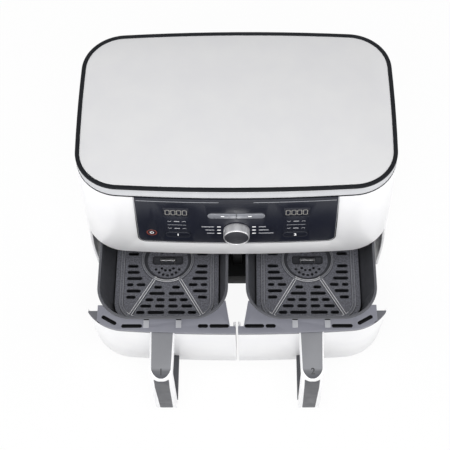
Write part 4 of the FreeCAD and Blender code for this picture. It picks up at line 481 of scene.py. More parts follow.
@dataclass
class Assembly:
    """A group of solids that is dressed and detailed together.

    Attributes:
        frame: The loaded frame.
    """

    frame: dict[str, Any]

    def body_of(self, node: str) -> str:
        """Return the name of the body that carries a solid."""
        return self.frame["nodes"][node]["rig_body"]

    def copy_of(self, node: str) -> BMesh:
        """Copy a solid's mesh.

        Args:
            node: Name of the solid.

        Returns:
            The copy.
        """
        shape = bmesh.new()
        shape.from_mesh(self.frame["nodes"][node].data)
        return shape

    def paint(self, node: str, finish: Finish) -> None:
        """Give a solid that stays as it is its finish.

        Args:
            node: Name of the solid.
            finish: Its surface.
        """
        solid = self.frame["nodes"][node]
        solid.data.materials.clear()
        solid.data.materials.append(finish.material())
        LOG.info("%s: %s", node, finish.name)

    def dress(self, node: str, finish: Finish, edge_mm: float) -> None:
        """Put a copy with broken edges in a solid's place.

        Args:
            node: Name of the solid.
            finish: Its surface.
            edge_mm: Width of the broken edges.
        """
        self.stand_in(node, self.broken(node, edge_mm), (finish,))

    def broken(self, node: str, edge_mm: float) -> BMesh:
        """Copy a solid and break its edges.

        Args:
            node: Name of the solid.
            edge_mm: Width of the broken edges.

        Returns:
            The copy, with its broken edges marked, and its forward corners marked for painted shade.
        """
        shape = self.copy_of(node)
        bmesh.ops.remove_doubles(shape, verts=shape.verts, dist=WELD_MM * MM)
        bmesh.ops.dissolve_limit(shape, angle_limit=FLAT_TURN, verts=shape.verts, edges=shape.edges)
        layer = shape.faces.layers.float.new("edge")
        sharp = [line for line in shape.edges if line.is_manifold and line.calc_face_angle(0.0) > EDGE_TURN]
        broken = bmesh.ops.bevel(
            shape,
            geom=sharp,
            offset=edge_mm * MM,
            offset_type="OFFSET",
            affect="EDGES",
            segments=EDGE_ROWS,
            profile=0.5,
            material=-1,
            clamp_overlap=True,
        )
        for face in broken["faces"]:
            face[layer] = 1.0
        shape.normal_update()
        # Painted shade: the more a corner faces the front, the more of a finish's front colour it takes.
        front = shape.verts.layers.float.new("front")
        for corner in shape.verts:
            corner[front] = ramp(-corner.normal.y, *PAINTED_SHADE_LEAN)
        return shape

    def stand_in(self, node: str, shape: BMesh, finishes: tuple[Finish, ...]) -> None:
        """Put a finished shape in a solid's place.

        Args:
            node: Name of the solid.
            shape: Shape that stands for it, which is used up.
            finishes: Its surfaces, in the order of the faces' material numbers.
        """
        piece = self.finish_piece(f"{node}_dressed", shape, finishes[0], node)
        for other in finishes[1:]:
            piece.data.materials.append(other.material())
        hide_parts(node)

    def finish_piece(
        self, name: str, shape: BMesh, finish: Finish, node: str, sharp_turn: float = SHARP_TURN
    ) -> Object:
        """Turn a shape into a piece that rides with a solid.

        Args:
            name: Name of the piece.
            shape: Its mesh, which is used up.
            finish: Its surface.
            node: Solid whose body carries it.
            sharp_turn: Turn above which an edge stays sharp in the shading.

        Returns:
            The finished piece.
        """
        mesh = bpy.data.meshes.new(name)
        shape.to_mesh(mesh)
        shape.free()
        mesh.shade_smooth()
        mesh.set_sharp_from_angle(angle=sharp_turn)
        mesh.materials.append(finish.material())
        piece = bpy.data.objects.new(name, mesh)
        bpy.context.scene.collection.objects.link(piece)
        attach(piece, self.body_of(node))
        LOG.info("%s: %d faces, %s", name, len(mesh.polygons), finish.name)
        return piece

    def print_on(
        self, name: str, shape: BMesh, finish: Finish, node: str, facing: Facing = Facing.FRONT
    ) -> None:
        """Lay a flat drawing on a solid's face as a thin film.

        Args:
            name: Name of the print.
            shape: Drawing in X and Y, which is used up.
            finish: Ink, foil or coat.
            node: Solid that carries the print.
            facing: Way that the face looks.
        """
        inward, turn = facing.value
        solid = self.copy_of(node)
        tree = BVHTree.FromBMesh(solid)
        solid.free()
        bmesh.ops.transform(shape, matrix=turn, verts=shape.verts)
        for corner in shape.verts:
            start = corner.co - inward * (corner.co.dot(inward) + DROP)
            hit = tree.ray_cast(start, inward)[0]
            if hit is not None:
                corner.co = hit - inward * FILM_MM * MM
        bmesh.ops.remove_doubles(shape, verts=shape.verts, dist=WELD_MM * MM)
        bmesh.ops.recalc_face_normals(shape, faces=shape.faces)
        for face in shape.faces:
            if face.normal.dot(inward) > 0:
                face.normal_flip()
        films = bmesh.ops.extrude_face_region(shape, geom=list(shape.faces), use_keep_orig=True)
        depth = [item for item in films["geom"] if isinstance(item, BMVert)]
        bmesh.ops.translate(shape, verts=depth, vec=inward * FILM_MM * 2 * MM)
        bmesh.ops.recalc_face_normals(shape, faces=shape.faces)
        self.finish_piece(name, shape, finish, node, PRINT_TURN)


def turned(middle: Pair, turn_deg: float) -> Matrix:
    """Return the move that turns a flat shape and puts it in its place."""
    place = Matrix.Translation((middle[0] * MM, middle[1] * MM, 0.0))
    return place @ Matrix.Rotation(math.radians(turn_deg), 4, "Z")


@dataclass
class Drawing:
    """A flat drawing in X and Y, made of bars, rings and strokes in millimetres.

    Attributes:
        shape: Mesh that is drawn on.
        digit_size: Width and height of a digit over the middles of its segments.
        segment_width: Width of a segment.
        segment_gap: Gap between two segments.
        arrow_share: Length of an arrow's strokes as a share of its width.
        arrow_line: Width of the strokes.
        arrow_turn: Turn of the strokes, in degrees.
        numeral_share: Height of a numeral as a share of its type size.
        numeral_swell: How much a numeral is fattened, as a share of its height.
        strips: Number of strips that a numeral is cut into.
        arc_step: Turn of one step along an arc, in degrees.
        least_steps: Least number of steps in an arc.
    """

    shape: BMesh = field(default_factory=bmesh.new)
    digit_size: Pair = (5.2, 10.4)
    segment_width: float = 1.15
    segment_gap: float = 0.25
    arrow_share: float = 0.6
    arrow_line: float = 0.75
    arrow_turn: float = 32.0
    numeral_share: float = 0.7
    numeral_swell: float = 0.03
    strips: int = 12
    arc_step: float = 12.0
    least_steps: int = 6

    def bar(self, middle: Pair, size: Pair, turn_deg: float = 0.0, cuts: int = 1) -> None:
        """Draw a bar.

        Args:
            middle: Place of its middle.
            size: Its width and height.
            turn_deg: Turn about its middle.
            cuts: Parts along its width, so that it can follow a curved face.
        """
        move = turned(middle, turn_deg) @ Matrix.Diagonal((size[0] * MM, size[1] * MM, 1.0, 1.0))
        bmesh.ops.create_grid(self.shape, x_segments=cuts, y_segments=1, size=0.5, matrix=move)

    def segment(self, middle: Pair, length: float, turn_deg: float) -> None:
        """Draw one pointed segment of a digit.

        Args:
            middle: Place of its middle.
            length: Its length over the points.
            turn_deg: Turn about its middle.
        """
        width = self.segment_width
        made = bmesh.ops.create_grid(self.shape, x_segments=3, y_segments=2, size=0.5)
        # The grid reaches half a unit each way, so 0.4 picks out its ends and 0.1 its middle row.
        for corner in made["verts"]:
            tip = abs(corner.co.x) > 0.4
            along = length / 2 if tip and abs(corner.co.y) < 0.1 else length / 2 - width / 2
            corner.co.x = math.copysign(along * MM, corner.co.x) if tip else corner.co.x * length * MM
            corner.co.y *= width * MM
        bmesh.ops.transform(self.shape, matrix=turned(middle, turn_deg), verts=made["verts"])

    def arc(
        self, middle: Pair, radius: float, width: float, start_deg: float = 0.0, sweep_deg: float = 360.0
    ) -> None:
        """Draw a ring or a part of one.

        Args:
            middle: Place of its middle.
            radius: Radius of its inner edge.
            width: Width of its line.
            start_deg: Where it starts, from X.
            sweep_deg: How far it goes round.
        """
        heading = Vector((math.cos(math.radians(start_deg)), math.sin(math.radians(start_deg)), 0.0))
        centre = Vector((middle[0] * MM, middle[1] * MM, 0.0))
        ends = [self.shape.verts.new(centre + heading * reach * MM) for reach in (radius, radius + width)]
        edge = self.shape.edges.new(ends)
        bmesh.ops.spin(
            self.shape,
            geom=[*ends, edge],
            cent=centre,
            axis=UP,
            angle=math.radians(sweep_deg),
            steps=max(self.least_steps, int(sweep_deg / self.arc_step)),
            use_merge=sweep_deg >= 360.0,
        )

    def pill(self, middle: Pair, size: Pair, width: float) -> None:
        """Draw the outline of a pill.

        Args:
            middle: Place of its middle.
            size: Its length and height over all.
            width: Width of its line.
        """
        reach = size[1] / 2 - width
        run = (size[0] - size[1]) / 2
        for sign in (-1, 1):
            self.arc((middle[0] + sign * run, middle[1]), reach, width, -90.0 if sign > 0 else 90.0, 180.0)
            self.bar((middle[0], middle[1] + sign * (reach + width / 2)), (2 * run, width), cuts=6)

    def digit(self, middle: Pair, lit: str) -> None:
        """Draw a seven-segment digit.

        Args:
            middle: Place of its middle.
            lit: Letters of the lit segments, a to g in the usual order.
        """
        width, half = self.digit_size[0], self.digit_size[1] / 2
        places = {
            "a": (0.0, half, 0.0),
            "b": (width / 2, half / 2, 90.0),
            "c": (width / 2, -half / 2, 90.0),
            "d": (0.0, -half, 0.0),
            "e": (-width / 2, -half / 2, 90.0),
            "f": (-width / 2, half / 2, 90.0),
            "g": (0.0, 0.0, 0.0),
        }
        for letter in lit:
            across, up, turn = places[letter]
            length = (width if turn == 0.0 else half) - self.segment_gap
            self.segment((middle[0] + across, middle[1] + up), length, turn)

    def chevron(self, middle: Pair, size: float, upward: bool) -> None:
        """Draw an arrow head.

        Args:
            middle: Place of its middle.
            size: Its width.
            upward: Whether it points up.
        """
        turn = -self.arrow_turn if upward else self.arrow_turn
        stroke = (size * self.arrow_share, self.arrow_line)
        for hand in (-1, 1):
            self.bar((middle[0] + hand * size / 4, middle[1]), stroke, hand * turn)

    def numeral(self, text: str, middle: Pair, height: float) -> None:
        """Draw a plain numeral, cut into strips so that it can follow a rounded face.

        Args:
            text: The numeral.
            middle: Place of its middle.
            height: Its height.
        """
        curve = bpy.data.curves.new("numeral", "FONT")
        curve.body = text
        curve.align_x = "CENTER"
        curve.align_y = "CENTER"
        curve.size = height / self.numeral_share * MM
        curve.offset = self.numeral_swell * height * MM
        holder = bpy.data.objects.new("numeral", curve)
        mesh = bpy.data.meshes.new_from_object(holder)
        mesh.transform(turned(middle, 0.0))
        self.shape.from_mesh(mesh)
        bmesh.ops.remove_doubles(self.shape, verts=self.shape.verts, dist=WELD_MM / 2 * MM)
        for step in range(1, self.strips):
            cut_across(self.shape, BACK, (middle[1] + height * (step / self.strips - 0.5)) * MM)
        bpy.data.objects.remove(holder)
        bpy.data.meshes.remove(mesh)
        bpy.data.curves.remove(curve)


@dataclass
class Housing(Assembly):
    """Outer shell, lid, trim, base and back.

    Attributes:
        band_middle: Middle of the bright band from front to back.
        shadow_line_height: Height of the dark line under the bright band, painted shadow of the gap there.
        shadow_line_reach: How far that painted shadow line stands out of the band.
    """

    band_middle: float = 85.5
    shadow_line_height: float = 1.6
    shadow_line_reach: float = 0.12

    def build(self) -> None:
        """Dress the shell and what shows around it."""
        for node, finish, edge_mm in (
            ("casing", WHITE_ABS, 1.0),
            ("lid_panel", LID_PAINT, 0.8),
            ("lid_gasket", RIM_RUBBER, 0.5),
            ("chrome_trim", CHROME, 0.5),
            ("base_tray", DARK_PP, 0.5),
            ("centre_post", DARK_PP, 0.5),
            ("base_plate", DARK_PP, 0.4),
            ("rubber_feet", FOOT_RUBBER, 0.6),
            ("rear_cover", DARK_PP, 0.4),
            ("cord_inlet", DARK_PP, 0.4),
            ("case_screws", SCREW_STEEL, 0.15),
        ):
            self.dress(node, finish, edge_mm)
        self.lay_band_shadow_line()

    def is_outer_wall(self, face: BMFace) -> bool:
        """Tell whether a face of the bright band is on its outer wall.

        Args:
            face: Face of the band.

        Returns:
            Whether it is a wall that looks away from the middle.
        """
        middle = face.calc_center_median()
        outward = face.normal.x * middle.x + face.normal.y * (middle.y - self.band_middle * MM)
        return abs(face.normal.z) < WALL_RISE and outward > 0.0

    def lay_band_shadow_line(self) -> None:
        """Lay a thin dark line where the bright band meets the casing, painted shadow of the gap there."""
        shape = self.copy_of("chrome_trim")
        bmesh.ops.remove_doubles(shape, verts=shape.verts, dist=WELD_MM * MM)
        foot = min(corner.co.z for corner in shape.verts)
        cut_across(shape, UP, foot + self.shadow_line_height * MM, clear_beyond=True)
        spare = [face for face in shape.faces if not self.is_outer_wall(face)]
        bmesh.ops.delete(shape, geom=spare, context="FACES")
        shape.normal_update()
        for corner in shape.verts:
            corner.co += corner.normal * self.shadow_line_reach * MM
        bmesh.ops.solidify(shape, geom=list(shape.faces), thickness=2 * self.shadow_line_reach * MM)
        bmesh.ops.recalc_face_normals(shape, faces=shape.faces)
        self.finish_piece("band_painted_shadow_line", shape, RIM_RUBBER, "lid_gasket")


@dataclass
class ControlPanel(Assembly):
    """Gloss panel with its displays, keys, dial and printed marks.

    Places across count from the middle of the panel.

    Attributes:
        bezel_rise: Heights between which the bezel's painted shade fades out.
        bezel_corner: Middle of the bezel's right lower corner.
        lip_reach: How far the bezel's inner lip reaches from there.
        display: Place of a display.
        digits: Lit segments of a display's digits.
        digit_pitch: Distance between two digits.
        rows: Heights of the two arrow rows.
        arrow: Place of an arrow from the middle of its row, and its width.
        row_bar: Size of the bar between two arrows.
        divider: Size of the line between the rows.
        zone_key: Place of a zone key.
        zone_ring: Size of the ring on a zone key.
        zone_line: Line width of that ring.
        zone_number: Height of the number on a zone key.
        line_place: Place of a silver line.
        line_size: Its size.
        mode_rows: Heights of the mode rows.
        lamp_place: Place of the mode lamps.
        lamp_size: Their size.
        bar_place: Place where the bars beside the lamps start.
        bar_height: Height of those bars.
        left_bars: Their lengths in the left rows.
        right_bars: Their lengths in the right rows.
        dash_place: Place of a dash on the pair keys.
        dash_size: Its size.
        power: Place of the power key.
        power_ring: Radius and line width of its ring.
        icon_ring: Radius, line width, start and sweep of the icon's ring.
        icon_rise: Height of the icon's stroke over the key's middle.
        icon_stroke: Size of that stroke.
    """

    bezel_rise: Pair = (240.0, 312.0)
    bezel_corner: Pair = (118.5, 216.5)
    lip_reach: float = 9.9
    display: Pair = (76.7, 278.6)
    digits: tuple[str, ...] = ("abcdef",) * 4
    digit_pitch: float = 7.3
    rows: Pair = (257.6, 240.8)
    arrow: Pair = (9.3, 4.6)
    row_bar: Pair = (7.0, 1.7)
    divider: Pair = (24.0, 0.8)
    zone_key: Pair = (76.2, 225.5)
    zone_ring: Pair = (32.0, 11.4)
    zone_line: float = 0.6
    zone_number: float = 4.9
    line_place: Pair = (74.0, 303.6)
    line_size: Pair = (104.0, 1.1)
    mode_rows: Triple = (246.0, 238.2, 230.4)
    lamp_place: float = 22.6
    lamp_size: Pair = (4.6, 1.5)
    bar_place: float = 28.8
    bar_height: float = 1.7
    left_bars: Triple = (16.4, 11.6, 9.6)
    right_bars: Triple = (9.0, 12.6, 19.0)
    dash_place: Pair = (17.4, 272.0)
    dash_size: Pair = (4.4, 1.5)
    power: Pair = (-110.3, 229.3)
    power_ring: Pair = (5.6, 1.0)
    icon_ring: tuple[float, float, float, float] = (1.9, 0.7, 125.0, 290.0)
    icon_rise: float = 2.0
    icon_stroke: Pair = (0.7, 2.2)

    def build(self) -> None:
        """Dress the panel and print its marks."""
        self.dress("control_fascia", PANEL_ACRYLIC, edge_mm=0.4)
        self.dress_bezel()
        for node, finish, edge_mm in (
            ("left_display_lens", LENS_ACRYLIC, 0.1),
            ("left_zone_key", KEY_ABS, 0.3),
            ("right_display_lens", LENS_ACRYLIC, 0.1),
            ("right_zone_key", KEY_ABS, 0.3),
            ("power_key", KEY_ABS, 0.3),
            ("sync_key", PAIR_KEY_ABS, 0.3),
            ("match_key", PAIR_KEY_ABS, 0.3),
            ("dial_ring", SATIN_CHROME, 0.5),
            ("dial_button", DIAL_FACE, 0.4),
        ):
            self.dress(node, finish, edge_mm)
        for side, sign, number in (("left", -1, "1"), ("right", 1, "2")):
            self.print_display(side, sign)
            self.print_zone_key(side, sign, number)
        self.print_modes()
        self.print_power()

    def is_bezel_lip(self, face: BMFace) -> bool:
        """Tell whether a face of the bezel lies along its inner edge.

        Args:
            face: Face of the bezel.

        Returns:
            Whether it lies no further out than the lip reaches.
        """
        middle = face.calc_center_median()
        across = max(abs(middle.x) - self.bezel_corner[0] * MM, 0.0)
        down = max(self.bezel_corner[1] * MM - middle.z, 0.0)
        return math.hypot(across, down) < self.lip_reach * MM

    def dress_bezel(self) -> None:
        """Dress the bezel, with painted shade deepening towards its foot and a flat grey painted highlight
        along its inner lip.
        """
        shape = self.broken("fascia_bezel", edge_mm=0.3)
        low, high = (height * MM for height in self.bezel_rise)
        for height in (low, high):
            cut_across(shape, UP, height)
        # Painted shade: the bezel darkens from the upper height down to the lower one.
        painted_shade = shape.verts.layers.float["front"]
        for corner in shape.verts:
            corner[painted_shade] = ramp(high - corner.co.z, 0.0, high - low)
        edge = shape.faces.layers.float["edge"]
        # Painted highlight: the broken edges along the inner lip take the flat silver-grey.
        for face in filter(self.is_bezel_lip, shape.faces):
            if face[edge]:
                face.material_index = SECOND_COAT
        self.stand_in("fascia_bezel", shape, (BEZEL_CHROME, LIP_HIGHLIGHT))

    def print_display(self, side: str, sign: int) -> None:
        """Light a display and print the arrow rows under it.

        Args:
            side: Left or right.
            sign: Minus one on the left and one on the right.
        """
        middle = sign * self.display[0]
        digits = Drawing()
        for place, lit in enumerate(self.digits):
            shift = (place - (len(self.digits) - 1) / 2) * self.digit_pitch
            digits.digit((middle + shift, self.display[1]), lit)
        self.print_on(f"{side}_digits", digits.shape, LED_WHITE, f"{side}_display_lens")
        rows = Drawing()
        for height in self.rows:
            for hand in (-1, 1):
                rows.chevron((middle + hand * self.arrow[0], height), self.arrow[1], upward=hand > 0)
            rows.bar((middle, height), self.row_bar, cuts=3)
        self.print_on(f"{side}_row_marks", rows.shape, PALE_INK, "control_fascia")
        divider = Drawing()
        divider.bar((middle, sum(self.rows) / 2), self.divider, cuts=8)
        self.print_on(f"{side}_row_divider", divider.shape, SILVER_INK, "control_fascia")

    def print_zone_key(self, side: str, sign: int, text: str) -> None:
        """Print the ring and the number of a zone key.

        Args:
            side: Left or right.
            sign: Minus one on the left and one on the right.
            text: The number.
        """
        middle = (sign * self.zone_key[0], self.zone_key[1])
        ring = Drawing()
        ring.pill(middle, self.zone_ring, self.zone_line)
        self.print_on(f"{side}_zone_ring", ring.shape, FAINT_INK, f"{side}_zone_key")
        number = Drawing()
        number.numeral(text, middle, self.zone_number)
        self.print_on(f"{side}_zone_number", number.shape, LAMP_WHITE, f"{side}_zone_key")

    def print_modes(self) -> None:
        """Print the silver lines, the mode rows and the dashes of the pair keys."""
        lines = Drawing()
        for sign in (-1, 1):
            lines.bar((sign * self.line_place[0], self.line_place[1]), self.line_size, cuts=26)
        self.print_on("panel_lines", lines.shape, SILVER_INK, "control_fascia")
        lamps = Drawing()
        bars = Drawing()
        for row, height in enumerate(self.mode_rows):
            for sign, lengths in ((-1, self.left_bars), (1, self.right_bars)):
                lamps.bar((sign * self.lamp_place, height), self.lamp_size, cuts=2)
                middle = sign * (self.bar_place + lengths[row] / 2)
                bars.bar((middle, height), (lengths[row], self.bar_height), cuts=5)
        self.print_on("mode_lamps", lamps.shape, LAMP_WHITE, "control_fascia")
        self.print_on("mode_bars", bars.shape, PALE_INK, "control_fascia")
        for key, sign in (("sync_key", -1), ("match_key", 1)):
            dash = Drawing()
            dash.bar((sign * self.dash_place[0], self.dash_place[1]), self.dash_size, cuts=2)
            self.print_on(f"{key}_dash", dash.shape, LAMP_WHITE, key)

    def print_power(self) -> None:
        """Print the ring and icon of the power key."""
        ring = Drawing()
        ring.arc(self.power, *self.power_ring)
        self.print_on("power_ring", ring.shape, RED_INK, "power_key")
        icon = Drawing()
        icon.arc(self.power, *self.icon_ring)
        icon.bar((self.power[0], self.power[1] + self.icon_rise), self.icon_stroke)
        self.print_on("power_icon", icon.shape, LAMP_WHITE, "power_key")


class LedgeCoat(Enum):
    """Material number of each painted-shade finish on a ledge."""

    GROOVE = 1
    FLAP = 2


class PlateCoat(Enum):
    """Material number of each painted highlight and painted shade on a crisper plate."""

    RIDGE = 1
    BORDER = 2
    SLOT = 3
    RECESS = 4


@dataclass
class Drawer(Assembly):
    """One drawer with its pan, front, handle and crisper plate.

    Attributes:
        side: Left or right.
        numeral: Number on the handle.
        numeral_place: Place of the number.
        numeral_height: Its height.
        clips: Place between the two pan clips, and their distance from it.
        catch: Size of the catch at a clip.
        rim_foot: Height at which the pan's rim starts.
        groove: Heights between which the ledge's grooves lie.
        groove_reach: How far from the middle of the part they reach.
        flap_start: Distance from the middle of the part at which the ledge's outer flap starts.
        dish: Middle of the plate's dish.
        dish_shade_ring: Inner radius and width of the painted shade ring round the edge of the dish.
        inside: Half width, front and back of the plate inside its border, from the dish's middle.
        ring: Where the sides of the dish's ring start and how far it reaches, from the same place.
        slots: Heights between which the walls of the plate's slots lie.
        recess: Heights between which the recess under the pull bar lies.
        recess_half: Half its width and depth, with a little room.
        raised: Heights between which the plate's ridges end, and the width of the painted highlight lines
            along them.
        sunk: Heights between which the plate's floor lies, and the width of the painted shade lines round
            its slots.
    """

    side: str = "left"
    numeral: str = "1"
    numeral_place: Pair = (-96.4, -216.4)
    numeral_height: float = 7.5
    clips: Triple = (-96.5, -143.6, 21.0)
    catch: Pair = (7.0, 1.5)
    rim_foot: float = 170.4
    groove: Pair = (166.4, 172.2)
    groove_reach: float = 181.0
    flap_start: float = 182.1
    dish: Pair = (-98.0, -7.1)
    dish_shade_ring: Pair = (28.6, 4.4)
    inside: Triple = (54.0, -89.0, 73.0)
    ring: Pair = (17.0, 37.5)
    slots: Pair = (89.7, 91.7)
    recess: Pair = (84.5, 90.5)
    recess_half: Pair = (25.0, 9.0)
    raised: Triple = (93.0, 95.0, 1.0)
    sunk: Triple = (90.5, 92.5, 0.45)

    def build(self) -> None:
        """Dress the drawer's pieces and print its number."""
        self.dress_pan()
        self.dress(f"{self.side}_drawer_front", WHITE_ABS, edge_mm=1.0)
        self.dress_ledge()
        self.dress(f"{self.side}_ledge_tabs", CLIP_ABS, edge_mm=0.3)
        self.dress(f"{self.side}_handle_shell", WHITE_ABS, edge_mm=0.7)
        self.dress(f"{self.side}_handle_inlays", INLAY_LACQUER, edge_mm=0.4)
        self.dress(f"{self.side}_handle_grip", GRIP_PP, edge_mm=0.5)
        self.dress_plate()
        self.dress(f"{self.side}_plate_bar", BAR_STEEL, edge_mm=0.3)
        self.dress(f"{self.side}_plate_bumpers", SILICONE, edge_mm=0.4)
        self.print_handle()
        self.print_catches()

    def from_dish(self, face: BMFace) -> Pair:
        """Return how far a face of the plate lies to the side of the dish's middle and behind it."""
        middle = face.calc_center_median()
        return abs(middle.x - self.dish[0] * MM), middle.y - self.dish[1] * MM

    def is_rim_face(self, face: BMFace) -> bool:
        """Tell whether a face of the pan lies on its rim."""
        return face.calc_center_median().z > self.rim_foot * MM

    def is_groove_face(self, face: BMFace) -> bool:
        """Tell whether a face of the ledge lies inside one of its grooves.

        Args:
            face: Face of the ledge.

        Returns:
            Whether it lies between the grooves' heights and within their reach.
        """
        middle = face.calc_center_median()
        lowest = min(corner.co.z for corner in face.verts)
        level = lowest > self.groove[0] * MM and middle.z < self.groove[1] * MM
        return level and abs(middle.x) < self.groove_reach * MM

    def is_flap_face(self, face: BMFace) -> bool:
        """Tell whether a face of the ledge lies on its outer flap."""
        return abs(face.calc_center_median().x) > self.flap_start * MM

    def is_dim_highlight_face(self, face: BMFace) -> bool:
        """Tell whether a face of the plate lies on its border or on the sides of its ring.

        Args:
            face: Face of the plate.

        Returns:
            Whether its painted highlight is the dimmer one.
        """
        across, along = self.from_dish(face)
        half, front, back = (size * MM for size in self.inside)
        border = across > half or not front < along < back
        return border or (across > self.ring[0] * MM and math.hypot(across, along) < self.ring[1] * MM)

    def is_slot_wall(self, face: BMFace) -> bool:
        """Tell whether a face of the plate lies inside a slot or a hole."""
        low, high = (height * MM for height in self.slots)
        return low < face.calc_center_median().z < high and abs(face.normal.z) < STEEP_RISE

    def is_recess_face(self, face: BMFace) -> bool:
        """Tell whether a face of the plate lies in the recess under the pull bar.

        Args:
            face: Face of the plate.

        Returns:
            Whether it is a wall or the floor of the recess.
        """
        across, along = self.from_dish(face)
        near = across < self.recess_half[0] * MM and abs(along) < self.recess_half[1] * MM
        low, high = (height * MM for height in self.recess)
        return near and low < face.calc_center_median().z < high and face.normal.z > -STEEP_RISE

    def dress_pan(self) -> None:
        """Dress the pan, with its rim paler."""
        node = f"{self.side}_pan"
        shape = self.broken(node, edge_mm=0.5)
        for face in filter(self.is_rim_face, shape.faces):
            face.material_index = SECOND_COAT
        self.stand_in(node, shape, (PAN_COAT, RIM_COAT))

    def dress_ledge(self) -> None:
        """Dress the ledge, with painted shade in its grooves up to their broken edges and on its outer flap.
        """
        node = f"{self.side}_ledge_trim"
        shape = self.broken(node, edge_mm=0.6)
        edge = shape.faces.layers.float["edge"]
        # Painted shade: the outer flap takes the darker copy of the nylon.
        for face in filter(self.is_flap_face, shape.faces):
            face.material_index = LedgeCoat.FLAP.value
        # Painted shade: the grooves' faces and their broken edges take the black.
        dark = set(filter(self.is_groove_face, shape.faces))
        for _ in range(EDGE_ROWS):
            dark |= {near for face in dark for line in face.edges for near in line.link_faces if near[edge]}
        for face in dark:
            face.material_index = LedgeCoat.GROOVE.value
        self.stand_in(node, shape, (LEDGE_NYLON, BLACK_NYLON_GROOVE_SHADE, FLAP_SHADE_NYLON))

    def dress_plate(self) -> None:
        """Dress the crisper plate, with painted highlight lines on its raised edges and painted shade round
        and in its slots, in its recess and round the edge of its dish.
        """
        node = f"{self.side}_crisper_plate"
        shape = self.broken(node, edge_mm=0.4)
        # Painted shade on the walls of the slots and holes.
        for face in filter(self.is_slot_wall, shape.faces):
            face.material_index = PlateCoat.SLOT.value
        # Painted shade in the recess under the pull bar.
        for face in filter(self.is_recess_face, shape.faces):
            face.material_index = PlateCoat.RECESS.value
        # Painted highlight lines along the edges of the raised level; painted shade lines round the edges of
        # the floor.
        self.line_level(shape, self.raised, PlateCoat.RIDGE)
        self.line_level(shape, self.sunk, PlateCoat.SLOT)
        self.stand_in(node, shape, (PLATE_COAT, RIDGE_HIGHLIGHT, BORDER_HIGHLIGHT, SLOT_SHADE, RECESS_SHADE))
        # Painted shade: a dark ring round the edge of the dish, printed on the plate.
        dish_shade_ring = Drawing()
        dish_shade_ring.arc(self.dish, *self.dish_shade_ring)
        self.print_on(f"{self.side}_dish_painted_shade", dish_shade_ring.shape, RECESS_SHADE, node, Facing.TOP)

    def line_level(self, shape: BMesh, level: Triple, coat: PlateCoat) -> None:
        """Draw a painted line along the edges of one level of the plate.

        Args:
            shape: The plate.
            level: Heights between which the level lies, and the width of the line.
            coat: Material of the line, painted highlight or painted shade. A highlight is dimmer on the
                border and on the ring's sides.
        """
        low, high, width = (size * MM for size in level)
        flat = [face for face in shape.faces if face.normal.z > LEVEL_RISE]
        flat = [face for face in flat if low < face.calc_center_median().z < high]
        parts = bmesh.ops.triangulate(shape, faces=flat)["faces"]
        lines = bmesh.ops.inset_region(
            shape, faces=parts, thickness=width, use_boundary=True, use_even_offset=True
        )
        for face in lines["faces"]:
            dull = coat is PlateCoat.RIDGE and self.is_dim_highlight_face(face)
            face.material_index = (PlateCoat.BORDER if dull else coat).value

    def print_handle(self) -> None:
        """Print the number on the handle's thumb end."""
        number = Drawing()
        number.numeral(self.numeral, self.numeral_place, self.numeral_height)
        inlays = f"{self.side}_handle_inlays"
        self.print_on(f"{self.side}_handle_number", number.shape, DARK_INK, inlays, Facing.TOP)

    def print_catches(self) -> None:
        """Lay the dark catches at the two pan clips."""
        catches = Drawing()
        for hand in (-1, 1):
            catches.bar((self.clips[0] + hand * self.clips[2], self.clips[1]), self.catch)
        ledge = f"{self.side}_ledge_trim"
        self.print_on(f"{self.side}_clip_catches", catches.shape, BLACK_NYLON_GROOVE_SHADE, ledge, Facing.TOP)


@dataclass
class Works(Assembly):
    """Heaters, fans, motors and boards inside the housing."""

    def build(self) -> None:
        """Give the inner pieces their finishes."""
        self.paint("deck_plate", SHEET_STEEL)
        for side in ("left", "right"):
            for name, finish in (
                ("cavity_liner", SHEET_STEEL),
                ("heater_can", SHEET_STEEL),
                ("heater_guard", SHEET_STEEL),
                ("heater_coil", HEATER_ALLOY),
                ("convection_fan", FAN_ALUMINIUM),
                ("motor_shaft", FAN_ALUMINIUM),
                ("fan_motor", MOTOR_ZINC),
            ):
                self.paint(f"{side}_{name}", finish)
        for board in ("control_board", "power_board"):
            self.paint(board, BOARD_MASK)
        self.paint("dial_encoder", ENCODER_NYLON)


